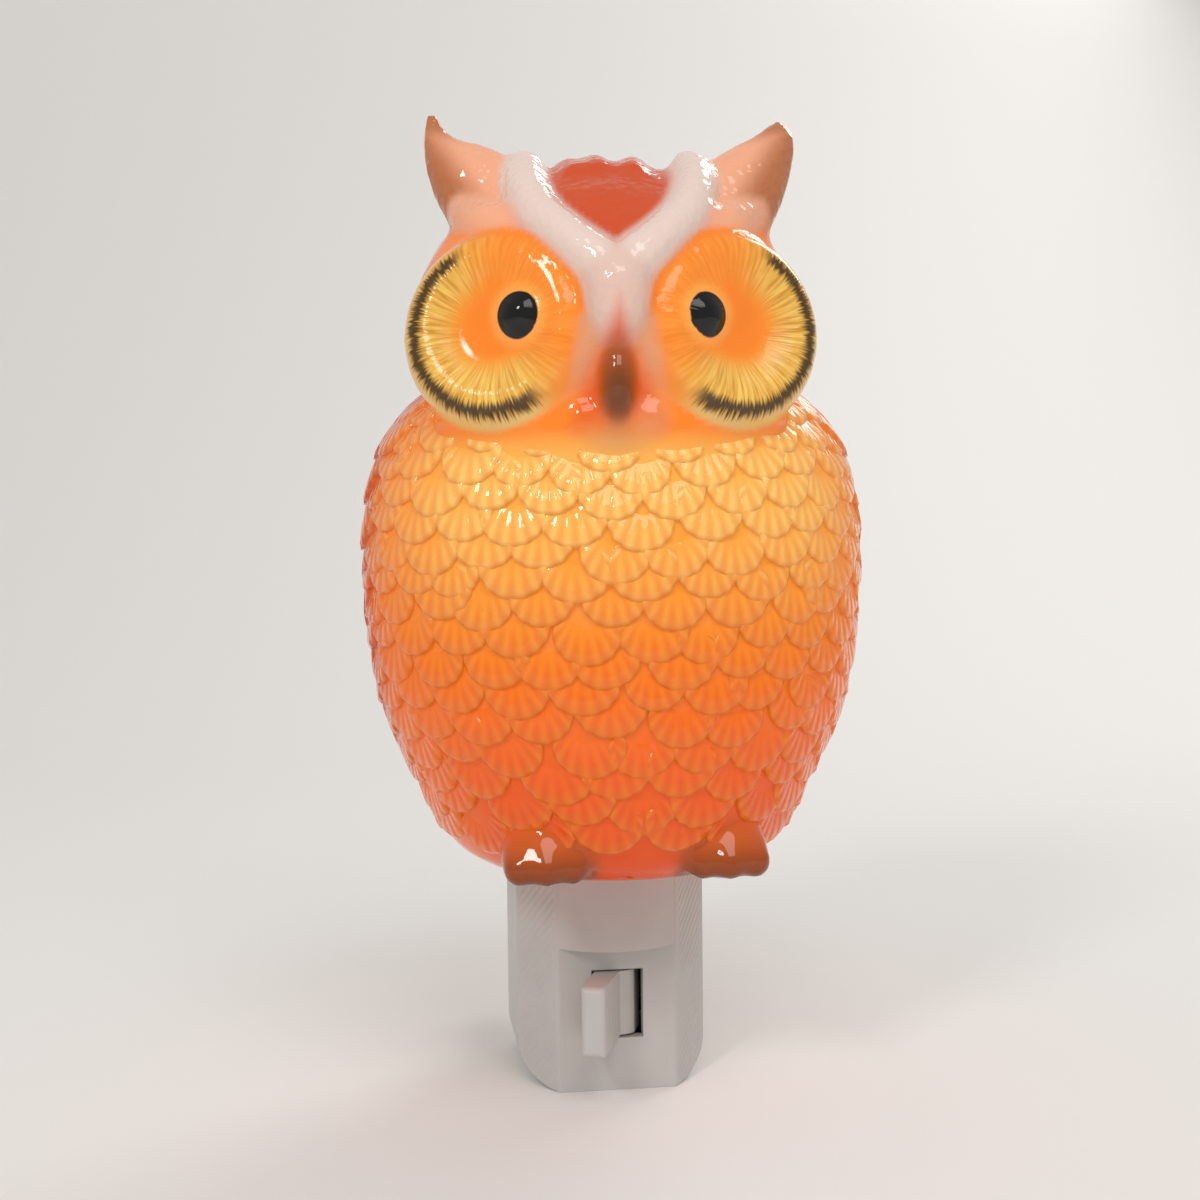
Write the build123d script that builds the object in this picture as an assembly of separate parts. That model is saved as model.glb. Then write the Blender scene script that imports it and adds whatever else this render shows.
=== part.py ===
from build123d import *
import os
from math import cos, pi, radians, sin, sqrt, tan

# Plug-in night light: a hollow porcelain owl on a swivel-plug base with a toggle switch.
# Millimetres. The origin is the centre of the plug's rear face, on the wall.
# +Y points into the wall, -Y to the viewer, +X to the viewer's right, +Z up.

# Base housing
HOUSING_WIDTH = 29.4
HOUSING_HEIGHT = 36.0
HOUSING_WALL = 2.0
REAR_HALF_DEPTH = 17.5
FRONT_HALF_DEPTH = 8.8
WALL_STANDOFF = 6.5
SWIVEL_HEIGHT = 15.5
FRONT_BEVEL_WIDTH = 5.65
FRONT_BEVEL_DEPTH = 7.0
BOTTOM_CORNER_RADIUS = 6.2
REAR_EDGE_RADIUS = 2.0
FRONT_EDGE_RADIUS = 0.7
COLLAR_RADIUS = 12.5
COLLAR_HEIGHT = 13.8
HOUSING_CLEARANCE = 0.1
CUT_OVERRUN = 1.0

# Screws that close the housing
SCREW_INSET = 3.8
SCREW_RADIUS = 1.0
SCREW_HOLE_RADIUS = 1.2
SCREW_HEAD_RADIUS = 1.9
SCREW_HEAD_HEIGHT = 1.4
SCREW_LENGTH = 18.0
COUNTERBORE_RADIUS = 2.1
COUNTERBORE_DEPTH = 3.0
BOSS_RADIUS = 2.6

# Swivel plug
ROTOR_RADIUS = 10.95
ROTOR_CLEARANCE = 0.05
FLANGE_OVERLAP = 1.5
FLANGE_THICKNESS = 2.2
FLANGE_GAP = 0.3
ROTOR_RIM_CHAMFER = 0.6
BLADE_SPACING = 12.7
BLADE_LENGTH = 17.0
BLADE_THICKNESS = 1.5
LIVE_BLADE_WIDTH = 6.35
NEUTRAL_BLADE_WIDTH = 7.95
BLADE_TIP_CHAMFER = 1.6
LIVE_TAIL_WIDTH = 3.0
LIVE_JOG_DEPTH = 5.5
SLIP_THICKNESS = 0.5
SLIP_DISC_RADIUS = 3.5
SLIP_RING_INNER_RADIUS = 6.5
SLIP_RING_OUTER_RADIUS = 9.5

# Terminal board and wipers
WIPER_HEIGHT = 2.4
WIPER_GAP = 0.1
WIPER_THICKNESS = 0.3
WIPER_WIDTH = 3.0
WIPER_FOOT = 3.2
WIPER_RAMP = 2.0
WIPER_PAD = 1.6
BOARD_THICKNESS = 1.6
BOARD_BELOW_AXIS = 8.4
BOARD_ABOVE_AXIS = 12.0
BOARD_CLEARANCE = 0.3
BOARD_LEDGE_WIDTH = 1.1
BOARD_LEDGE_HEIGHT = 2.0
RIVET_RADIUS = 0.9
LEAD_RADIUS = 0.8
LEAD_BEND = 3.5
LEAD_OFFSET = 4.2
LEAD_HEIGHT = 10.2

# Toggle switch
SLOT_WIDTH = 7.9
SLOT_HEIGHT = 10.6
SLOT_BELOW_AXIS = 2.15
SLOT_CLEARANCE = 0.35
TOGGLE_ANGLE = 20.0
DRUM_RADIUS = 4.2
SKIRT_HALF_WIDTH = 3.65
DRUM_SETBACK = 0.25
BAT_LENGTH = 15.0
BAT_THICKNESS = 3.6
BAT_EDGE_RADIUS = 0.9
BAT_CLEARANCE = 0.05
TRUNNION_RADIUS = 1.0
TRUNNION_CLEARANCE = 0.05
TRUNNION_LENGTH = 2.2
LUG_HEIGHT = 2.2
LUG_HALF_WIDTH = 2.6
LUG_MARGIN = 1.0
TAIL_RADIUS = 2.4
TAIL_LENGTH = 5.6
PLUNGER_RADIUS = 1.2
PLUNGER_LENGTH = 3.2
PLUNGER_CLEARANCE = 0.05
SPRING_LENGTH = 2.5
SPRING_WIRE = 0.4
ROCKER_ANGLE = 8.0
ROCKER_LENGTH = 11.4
ROCKER_HEIGHT = 6.0
ROCKER_THICKNESS = 0.8
ROCKER_HUB_RADIUS = 1.3
PIN_RADIUS = 0.8
PIN_CLEARANCE = 0.05
PIN_STANDOFF = 2.8
PLUNGER_GAP = 0.1
BRACKET_THICKNESS = 0.6
BRACKET_HALF_WIDTH = 1.6
BRACKET_GAP = 0.3
CONTACT_RADIUS = 1.0
CONTACT_OFFSET = 4.7
CONTACT_GAP = 0.15
STRIP_WIDTH = 2.0

# Lamp socket
NECK_RADIUS = 8.9
NECK_CLEARANCE = 0.1
SLEEVE_FLANGE_RADIUS = 10.2
SLEEVE_FLANGE_HEIGHT = 2.5
SLEEVE_COLLAR_HEIGHT = 6.0
SLEEVE_TUBE_RADIUS = 9.0
SLEEVE_HEIGHT = 23.5
SLEEVE_LOWER_BORE = 5.8
SHELL_RADIUS = 6.5
SHELL_WALL = 0.4
SHELL_LENGTH = 15.0
SHELL_LIP = 3.0
SHELL_EYELET_RADIUS = 0.8
EYELET_DROP = 2.0
INSULATOR_THICKNESS = 1.6
INSULATOR_HEIGHT = 6.5
CONTACT_BUTTON_RADIUS = 1.9
CONTACT_BUTTON_HEIGHT = 0.6
CLIP_WIDTH = 5.0
CLIP_THICKNESS = 0.35
CLIP_BOW = 1.2
CLIP_RECESS = 1.15
CLIP_MARGIN = 0.5
SHADE_SEAT_GAP = 0.1

# Bulb
BULB_GAP = 0.15
BULB_TIP_RADIUS = 1.8
BULB_TIP_HEIGHT = 0.9
BULB_INSULATOR_HEIGHT = 1.8
BULB_INSULATOR_RADIUS = 5.0
BULB_CAP_RADIUS = 5.95
BULB_CAP_HEIGHT = 13.0
BULB_CAP_WALL = 0.35
BULB_CAP_LIP_RADIUS = 4.1
BULB_GLASS_RADIUS = 11.0
BULB_GLASS_HEIGHT = 38.5
BULB_GLASS_WALL = 0.7
BULB_NECK_DEPTH = 4.0
BULB_STEM_RADIUS = 2.4
BULB_STEM_HEIGHT = 10.0
BULB_LEAD_RADIUS = 0.3
BULB_LEAD_SPREAD = 4.0
BULB_LEAD_HEIGHT = 10.0
FILAMENT_RADIUS = 0.35
FILAMENT_RISE = 3.0

# Porcelain owl: offsets run sideways from its middle plane, reaches forward from its axis and
# lifts up from its seat; rises run up from the middle of its head
SHADE_WIDTH = 73.4
SHADE_DEPTH = 60.0
SHADE_BACK_GAP = 3.0
SHADE_WALL = 3.0
SHADE_HOLE_CLEARANCE = 0.5
BODY_HEIGHT = 73.0
HEAD_WIDTH = 57.0
HEAD_DEPTH = 52.0
HEAD_HEIGHT = 49.0
HEAD_OFFSET = -1.1
HEAD_REACH = 4.0
HEAD_ABOVE_BODY = 6.0
HEAD_TURN = -4.5
EYE_RADIUS = 14.2
EYE_DISH = 1.2
EYE_EDGE = 3.2
EYE_BODY = 9.0
EYE_OFFSET = 16.6
EYE_REACH = 24.8
EYE_RISE = -1.7
EYE_TURN = 23.0
EYE_PITCH = 8.0
PUPIL_RADIUS = 3.3
PUPIL_SINK = 1.4
PUPIL_INWARD = 4.4
PUPIL_RAISE = 1.4
EAR_ROOT_OFFSET = 15.8
EAR_ROOT_REACH = 8.0
EAR_ROOT_RISE = 11.0
EAR_TIP_OFFSET = 26.4
EAR_TIP_RISE = 30.2
EAR_WIDTH = 17.0
EAR_THICKNESS = 14.0
BROW_RADIUS = 2.9
BROW_TOP_OFFSET = 11.6
BROW_TOP_RISE = 21.5
BROW_MID_OFFSET = 8.8
BROW_MID_RISE = 13.5
BROW_JOIN_RISE = 3.0
BRIDGE_WIDTH = 11.0
BRIDGE_DEPTH = 7.0
BRIDGE_HEIGHT = 16.0
BRIDGE_RISE = -2.0
BEAK_WIDTH = 5.0
BEAK_DEPTH = 9.0
BEAK_HEIGHT = 11.5
BEAK_RISE = -8.0
CHIN_WIDTH = 15.0
CHIN_DEPTH = 10.0
CHIN_HEIGHT = 9.0
CHIN_REACH = 24.5
CHIN_RISE = -15.5
TOE_WIDTH = 4.8
TOE_DEPTH = 12.0
TOE_HEIGHT = 6.8
TOE_PITCH = 3.6
TOE_REACH = 18.5
FOOT_OFFSET = 13.2
FEATHER_PITCH = 8.9
FEATHER_ROW_PITCH = 4.0
FEATHER_LIFT = 9.5
FEATHER_TOP_DROP = 11.0
FEATHER_LAP = 2.2
FEATHER_RISE = 1.3
FEATHER_ROOT_RISE = 0.4
FEATHER_STEP = 0.3
FEATHER_POINTS = 6
BREAST_SPREAD = 58.0
BREAST_BORDER = 9.0
WING_RISE = 1.1
WING_INNER_OFFSET = 14.0
WING_SHOULDER_REACH = 15.0
WING_SHOULDER_LIFT = 66.0
WING_EDGE_LIFT = 42.0
WING_TIP_BACK = 21.0
WING_TIP_LIFT = 10.0
WING_BACK = 25.0
WING_BACK_LIFT = 38.0
WING_TOP_BACK = 18.0
WING_TOP_LIFT = 68.0

# Outline of the owl's body from its seat to its hidden top: heights as shares of the body's
# height, half-widths as shares of half the width, reaches as shares of half the depth.
BODY_HEIGHT_SHARES = (0.0, 0.04, 0.11, 0.20, 0.36, 0.61, 0.79, 0.90, 1.0)
BODY_WIDTH_SHARES = (0.545, 0.66, 0.744, 0.826, 0.95, 1.0, 0.965, 0.86, 0.68)
BODY_FRONT_SHARES = (0.60, 0.73, 0.82, 0.89, 0.965, 1.0, 0.955, 0.84, 0.62)
BODY_BACK_SHARES = (0.86, 0.92, 0.95, 0.97, 0.99, 1.0, 0.985, 0.93, 0.80)

# Level outlines of an ear from its hidden root to its tip: places as shares of the way from the
# root to the tip, sideways and up, and sizes as shares of the root's.
EAR_OUT_SHARES = (0.0, 0.32, 0.68, 0.89, 1.0)
EAR_UP_SHARES = (0.0, 0.45, 0.70, 0.88, 1.0)
EAR_SIZE_SHARES = (1.0, 0.78, 0.45, 0.26, 0.11)

# Face of an eye disc: its crest lies at a share of its radius.
EYE_CREST_SHARE = 0.68

# Outline of the bulb's glass above its cap: heights as shares of the glass above the cap,
# radii as shares of the widest radius.
GLASS_HEIGHT_SHARES = (0.12, 0.45, 0.80)
GLASS_RADIUS_SHARES = (0.62, 1.0, 0.62)

# Planes and levels that the pieces share
rear_y = -WALL_STANDOFF
split_y = rear_y - REAR_HALF_DEPTH
front_y = split_y - FRONT_HALF_DEPTH
bottom_z = -SWIVEL_HEIGHT
top_z = bottom_z + HOUSING_HEIGHT
ceiling_z = top_z - HOUSING_WALL
half_width = HOUSING_WIDTH / 2
inner_half_width = half_width - HOUSING_WALL
inner_rear_y = rear_y - HOUSING_WALL
inner_front_y = front_y + HOUSING_WALL
socket_y = split_y
flange_rear_y = inner_rear_y - FLANGE_GAP
flange_front_y = flange_rear_y - FLANGE_THICKNESS
slip_front_y = flange_front_y - SLIP_THICKNESS
board_rear_y = slip_front_y - WIPER_GAP - WIPER_HEIGHT
board_front_y = board_rear_y - BOARD_THICKNESS
board_half_width = inner_half_width - BOARD_CLEARANCE
slot_z = -SLOT_BELOW_AXIS
pivot_y = front_y + DRUM_SETBACK + DRUM_RADIUS
pin_y = board_front_y - PIN_STANDOFF
screw_x = half_width - SCREW_INSET
screw_z = bottom_z + SCREW_INSET
sleeve_top_z = top_z + SLEEVE_HEIGHT
insulator_z = top_z + INSULATOR_HEIGHT
shell_z = insulator_z + INSULATOR_THICKNESS
button_z = shell_z + CONTACT_BUTTON_HEIGHT
bulb_z = button_z + BULB_GAP
cap_z = bulb_z + BULB_TIP_HEIGHT + BULB_INSULATOR_HEIGHT
cap_top_z = cap_z + BULB_CAP_HEIGHT
glass_neck_radius = BULB_CAP_RADIUS - BULB_CAP_WALL
rocker_face = PIN_RADIUS + PIN_CLEARANCE + ROCKER_THICKNESS
seat_z = top_z + SHADE_SEAT_GAP
shade_y = -SHADE_BACK_GAP - SHADE_DEPTH / 2
head_lift = BODY_HEIGHT + HEAD_ABOVE_BODY
feather_rows = int((BODY_HEIGHT - FEATHER_TOP_DROP - FEATHER_LIFT) / FEATHER_ROW_PITCH)
feathers_round = round(pi * SHADE_WIDTH / FEATHER_PITCH)
breast_backing = SHADE_WALL / 2
shade_hole_radius = COLLAR_RADIUS + SHADE_HOLE_CLEARANCE


def block(x_span, y_span, z_span):
    """A box between two values on each axis."""
    spans = (x_span, y_span, z_span)
    middle = [(low + high) / 2 for low, high in spans]
    sizes = [abs(high - low) for low, high in spans]
    return Pos(*middle) * Box(*sizes)


def rod_y(radius, x, z, y_from, y_to):
    """A round rod along Y."""
    return Pos(x, (y_from + y_to) / 2, z) * Rot(90, 0, 0) * Cylinder(radius, abs(y_to - y_from))


def rod_z(radius, x, y, z_from, z_to):
    """A round rod along Z."""
    return Pos(x, y, (z_from + z_to) / 2) * Cylinder(radius, abs(z_to - z_from))


def turned(*points):
    """A piece turned about the socket's axis from its radius and height points."""
    profile = make_face(Plane.XZ * Polyline(*points, close=True))
    return Pos(0, socket_y, 0) * revolve(profile, Axis.Z)


def ellipsoid(centre, width, depth, height):
    """A rounded swelling with its three full sizes."""
    return Pos(*centre) * scale(Sphere(1), by=(width / 2, depth / 2, height / 2))


def housing_block(inset):
    """The closed base's outer form, or the hollow inside a wall of that thickness."""
    bevel_y = front_y + FRONT_BEVEL_DEPTH
    flat_half = half_width - FRONT_BEVEL_WIDTH
    plan = make_face(
        Polyline(
            (-half_width, rear_y),
            (-half_width, bevel_y),
            (-flat_half, front_y),
            (flat_half, front_y),
            (half_width, bevel_y),
            (half_width, rear_y),
            close=True,
        )
    )
    by_depth = plan.vertices().sort_by(Axis.Y)
    plan = fillet(by_depth[:4], FRONT_EDGE_RADIUS)
    plan = fillet(plan.vertices().sort_by(Axis.Y)[-2:], REAR_EDGE_RADIUS)
    face = Pos(0, (bottom_z + top_z) / 2) * Rectangle(HOUSING_WIDTH, HOUSING_HEIGHT)
    face = fillet(face.vertices().sort_by(Axis.Y)[:2], BOTTOM_CORNER_RADIUS)
    if inset:
        plan = offset(plan, amount=-inset)
        face = offset(face, amount=-inset)
    column = extrude(Pos(0, 0, bottom_z) * plan, amount=HOUSING_HEIGHT)
    slab = extrude(Plane.XZ * face, amount=-front_y)
    return column & slab


def make_housing():
    """The two moulded halves of the base, parted on the socket's axis."""
    bulge = rod_z(COLLAR_RADIUS, 0, socket_y, top_z - COLLAR_HEIGHT, top_z)
    bulge_hollow = rod_z(
        COLLAR_RADIUS - HOUSING_WALL, 0, socket_y, top_z - COLLAR_HEIGHT + HOUSING_WALL, ceiling_z
    )
    hollow = housing_block(HOUSING_WALL)
    neck_hole = rod_z(
        NECK_RADIUS + NECK_CLEARANCE, 0, socket_y, ceiling_z - CUT_OVERRUN, top_z + CUT_OVERRUN
    )
    wide = (-HOUSING_WIDTH, HOUSING_WIDTH)
    tall = (bottom_z - CUT_OVERRUN, top_z + CUT_OVERRUN)
    before_split = block(wide, (front_y - COLLAR_RADIUS, split_y), tall)
    behind_split = block(wide, (split_y, rear_y + CUT_OVERRUN), tall)
    outer = housing_block(0)

    front = (outer + bulge) & before_split
    front -= hollow
    front -= bulge_hollow
    slot = block(
        (-SLOT_WIDTH / 2, SLOT_WIDTH / 2),
        (front_y - CUT_OVERRUN, inner_front_y + CUT_OVERRUN),
        (slot_z - SLOT_HEIGHT / 2, slot_z + SLOT_HEIGHT / 2),
    )
    front -= slot
    lug_back_y = pivot_y + TRUNNION_RADIUS + LUG_MARGIN
    bearing = TRUNNION_RADIUS + TRUNNION_CLEARANCE
    for side in (-1, 1):
        low = slot_z + side * SLOT_HEIGHT / 2
        high = low + side * LUG_HEIGHT
        lug = block((-LUG_HALF_WIDTH, LUG_HALF_WIDTH), (inner_front_y, lug_back_y), (low, high))
        lug -= rod_z(bearing, 0, pivot_y, low, high)
        lug -= block((-bearing, bearing), (pivot_y, lug_back_y), (low, high))
        front += lug
        boss = rod_y(BOSS_RADIUS, side * screw_x, screw_z, split_y, front_y) & outer
        front += boss & before_split
        rib_outer = side * (inner_half_width - HOUSING_CLEARANCE)
        rib_inner = side * (inner_half_width - HOUSING_CLEARANCE - BOARD_LEDGE_WIDTH)
        for rib_z in (-BOARD_BELOW_AXIS, BOARD_ABOVE_AXIS - BOARD_LEDGE_HEIGHT):
            z_span = (rib_z, rib_z + BOARD_LEDGE_HEIGHT)
            front += block((rib_inner, rib_outer), (split_y - HOUSING_WALL, board_front_y), z_span)
            root = block((rib_inner, side * half_width), (split_y - HOUSING_WALL, split_y), z_span)
            front += root & outer
    screw_end_y = rear_y - COUNTERBORE_DEPTH - SCREW_LENGTH
    for side in (-1, 1):
        front -= rod_y(SCREW_RADIUS, side * screw_x, screw_z, screw_end_y, split_y)
    front -= neck_hole

    rear = outer & behind_split
    rear -= hollow
    for side in (-1, 1):
        rear += rod_y(BOSS_RADIUS, side * screw_x, screw_z, split_y, rear_y) & outer
        ledge_inner = side * (inner_half_width - BOARD_LEDGE_WIDTH)
        for ledge_z in (-BOARD_BELOW_AXIS, BOARD_ABOVE_AXIS - BOARD_LEDGE_HEIGHT):
            z_span = (ledge_z, ledge_z + BOARD_LEDGE_HEIGHT)
            y_span = (board_rear_y, inner_rear_y)
            rear += block((ledge_inner, side * (inner_half_width + HOUSING_CLEARANCE)), y_span, z_span)
    for side in (-1, 1):
        rear -= rod_y(SCREW_HOLE_RADIUS, side * screw_x, screw_z, split_y, rear_y)
        rear -= rod_y(
            COUNTERBORE_RADIUS, side * screw_x, screw_z, rear_y - COUNTERBORE_DEPTH, rear_y
        )
    rear -= neck_hole
    rear -= rod_y(ROTOR_RADIUS + ROTOR_CLEARANCE, 0, 0, inner_rear_y - CUT_OVERRUN, rear_y + CUT_OVERRUN)
    return front, rear


def make_screws():
    """Two self-tapping screws, driven from behind."""
    seat_y = rear_y - COUNTERBORE_DEPTH
    screws = []
    for side in (-1, 1):
        x = side * screw_x
        head = rod_y(SCREW_HEAD_RADIUS, x, screw_z, seat_y, seat_y + SCREW_HEAD_HEIGHT)
        shank = rod_y(SCREW_RADIUS, x, screw_z, seat_y - SCREW_LENGTH, seat_y)
        screws.append(head + shank)
    return Compound(children=screws)


def make_plug():
    """The swivel rotor with its two moulded-in blades and the slip plates on its inner face."""
    x = BLADE_SPACING / 2
    half = BLADE_THICKNESS / 2
    tip = (-half, half)

    neutral = block(
        (-x - half, -x + half),
        (flange_front_y, BLADE_LENGTH),
        (-NEUTRAL_BLADE_WIDTH / 2, NEUTRAL_BLADE_WIDTH / 2),
    )
    live = block(
        (x - half, x + half),
        (-LIVE_JOG_DEPTH, BLADE_LENGTH),
        (-LIVE_BLADE_WIDTH / 2, LIVE_BLADE_WIDTH / 2),
    )
    blades = []
    for blade in (neutral, live):
        corners = blade.edges().filter_by(Axis.X).group_by(Axis.Y)[-1]
        blades.append(chamfer(corners, BLADE_TIP_CHAMFER))
    neutral, live = blades
    tail_half = LIVE_TAIL_WIDTH / 2
    live += block(
        (-tail_half, x + half),
        (-LIVE_JOG_DEPTH - BLADE_THICKNESS, -LIVE_JOG_DEPTH),
        (-tail_half, tail_half),
    )
    live += block((-tail_half, tail_half), (flange_front_y, -LIVE_JOG_DEPTH), tip)

    rotor = rod_y(ROTOR_RADIUS, 0, 0, flange_rear_y, 0)
    rim = rotor.edges().filter_by(GeomType.CIRCLE).sort_by(Axis.Y)[-1]
    rotor = chamfer(rim, ROTOR_RIM_CHAMFER)
    flange_radius = ROTOR_RADIUS + FLANGE_OVERLAP
    rotor += rod_y(flange_radius, 0, 0, flange_front_y, flange_rear_y)
    rotor -= neutral
    rotor -= live

    disc = rod_y(SLIP_DISC_RADIUS, 0, 0, slip_front_y, flange_front_y)
    ring = rod_y(SLIP_RING_OUTER_RADIUS, 0, 0, slip_front_y, flange_front_y)
    ring -= rod_y(SLIP_RING_INNER_RADIUS, 0, 0, slip_front_y, flange_front_y)
    return rotor, live, neutral, disc, ring


def make_wiper(x, rivet_z, way):
    """A leaf contact riveted to the board, with a bent arm that runs on a slip plate."""
    near, far = board_rear_y, board_rear_y + WIPER_HEIGHT
    foot_from = rivet_z - way * WIPER_FOOT / 2
    foot_to = rivet_z + way * WIPER_FOOT / 2
    bend = foot_to + way * WIPER_RAMP
    tip = bend + way * WIPER_PAD
    leaf = make_face(
        Plane.YZ
        * Polyline(
            (near, foot_from),
            (near, foot_to),
            (far - WIPER_THICKNESS, bend),
            (far - WIPER_THICKNESS, tip),
            (far, tip),
            (far, bend - way * WIPER_THICKNESS),
            (near + WIPER_THICKNESS, foot_to - way * WIPER_THICKNESS),
            (near + WIPER_THICKNESS, foot_from),
            close=True,
        )
    )
    wiper = Pos(x, 0, 0) * extrude(leaf, amount=WIPER_WIDTH / 2, both=True)
    return wiper + rod_y(RIVET_RADIUS, x, rivet_z, board_front_y, board_rear_y)


def make_board():
    """The insulating board that carries the wipers and the switch contacts."""
    board = block(
        (-board_half_width, board_half_width),
        (board_front_y, board_rear_y),
        (-BOARD_BELOW_AXIS, BOARD_ABOVE_AXIS),
    )
    for x, z in ((0, slot_z), (-LEAD_OFFSET, LEAD_HEIGHT)):
        board -= rod_y(RIVET_RADIUS, x, z, board_front_y, board_rear_y)
    return board


def make_lead(x, start_y, end_z):
    """An insulated lead from the board, round one bend and up into the socket."""
    route = FilletPolyline(
        (x, start_y, LEAD_HEIGHT), (x, socket_y, LEAD_HEIGHT), (x, socket_y, end_z), radius=LEAD_BEND
    )
    return sweep(Plane(route @ 0, z_dir=route % 0) * Circle(LEAD_RADIUS), path=route)


def make_contacts():
    """The switch's bracket with its pin, the rocker on that pin and the post it closes on."""
    base_y = board_front_y - BRACKET_THICKNESS
    ear_from = ROCKER_HEIGHT / 2 + BRACKET_GAP
    ear_to = ear_from + BRACKET_THICKNESS
    sides = (-BRACKET_HALF_WIDTH, BRACKET_HALF_WIDTH)
    bracket = block(sides, (base_y, board_front_y), (slot_z - ear_to, slot_z + ear_to))
    ear_y = pin_y - BRACKET_HALF_WIDTH
    for side in (-1, 1):
        z_span = (slot_z + side * ear_from, slot_z + side * ear_to)
        bracket += block(sides, (ear_y, board_front_y), z_span)
    pin = rod_z(PIN_RADIUS, 0, pin_y, slot_z - ear_to, slot_z + ear_to)
    bracket -= pin

    rocker = block(
        (-ROCKER_LENGTH / 2, ROCKER_LENGTH / 2),
        (-rocker_face, ROCKER_THICKNESS - rocker_face),
        (-ROCKER_HEIGHT / 2, ROCKER_HEIGHT / 2),
    )
    rocker += rod_z(ROCKER_HUB_RADIUS, 0, 0, -ROCKER_HEIGHT / 2, ROCKER_HEIGHT / 2)
    rocker -= rod_z(PIN_RADIUS + PIN_CLEARANCE, 0, 0, -ROCKER_HEIGHT / 2, ROCKER_HEIGHT / 2)
    rocker = Pos(0, pin_y, slot_z) * Rot(0, 0, ROCKER_ANGLE) * rocker

    tilt = radians(ROCKER_ANGLE)
    back = (ROCKER_THICKNESS - rocker_face) / cos(tilt) + (CONTACT_OFFSET + CONTACT_RADIUS) * tan(tilt)
    post = rod_y(CONTACT_RADIUS, CONTACT_OFFSET, slot_z, pin_y + back + CONTACT_GAP, board_front_y)
    strip_half = STRIP_WIDTH / 2
    outer_x = CONTACT_OFFSET + strip_half
    y_span = (base_y, board_front_y)
    top_span = (LEAD_HEIGHT - strip_half, LEAD_HEIGHT + strip_half)
    post += block((CONTACT_OFFSET - strip_half, outer_x), y_span, (slot_z - strip_half, top_span[1]))
    post += block((-strip_half, outer_x), y_span, top_span)
    return bracket, pin, rocker, post


def make_toggle():
    """The paddle toggle with its drum, trunnions and tail, and the spring and plunger inside."""
    half_height = SLOT_HEIGHT / 2 - SLOT_CLEARANCE
    tip_half = SLOT_HEIGHT / 2 - BAT_CLEARANCE
    profile = make_face(
        Plane.YZ
        * Polyline(
            (0, -half_height), (0, half_height), (-BAT_LENGTH, tip_half), (-BAT_LENGTH, -tip_half), close=True
        )
    )
    bat = extrude(profile, amount=BAT_THICKNESS / 2, both=True)
    bat = fillet(bat.faces().sort_by(Axis.Y)[0].edges(), BAT_EDGE_RADIUS)
    drum = rod_z(DRUM_RADIUS, 0, 0, -half_height, half_height)
    drum &= block(
        (-SKIRT_HALF_WIDTH, SKIRT_HALF_WIDTH), (-DRUM_RADIUS, DRUM_RADIUS), (-half_height, half_height)
    )
    lever = bat + drum
    trunnion_end = half_height + TRUNNION_LENGTH
    lever += rod_z(TRUNNION_RADIUS, 0, 0, -trunnion_end, trunnion_end)
    lever += rod_y(TAIL_RADIUS, 0, 0, 0, TAIL_LENGTH)
    ball_y = pin_y - pivot_y - rocker_face - PLUNGER_RADIUS - PLUNGER_GAP
    plunger_y = ball_y - PLUNGER_LENGTH
    spring_y = plunger_y - SPRING_LENGTH
    bore = PLUNGER_RADIUS + PLUNGER_CLEARANCE
    lever -= rod_y(bore, 0, 0, spring_y, ball_y)
    spring = rod_y(PLUNGER_RADIUS, 0, 0, spring_y, plunger_y)
    spring -= rod_y(PLUNGER_RADIUS - SPRING_WIRE, 0, 0, spring_y, plunger_y)
    plunger = rod_y(PLUNGER_RADIUS, 0, 0, plunger_y, ball_y) + Pos(0, ball_y, 0) * Sphere(PLUNGER_RADIUS)
    place = Pos(0, pivot_y, slot_z) * Rot(0, 0, -TOGGLE_ANGLE)
    return place * lever, place * spring, place * plunger


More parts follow.
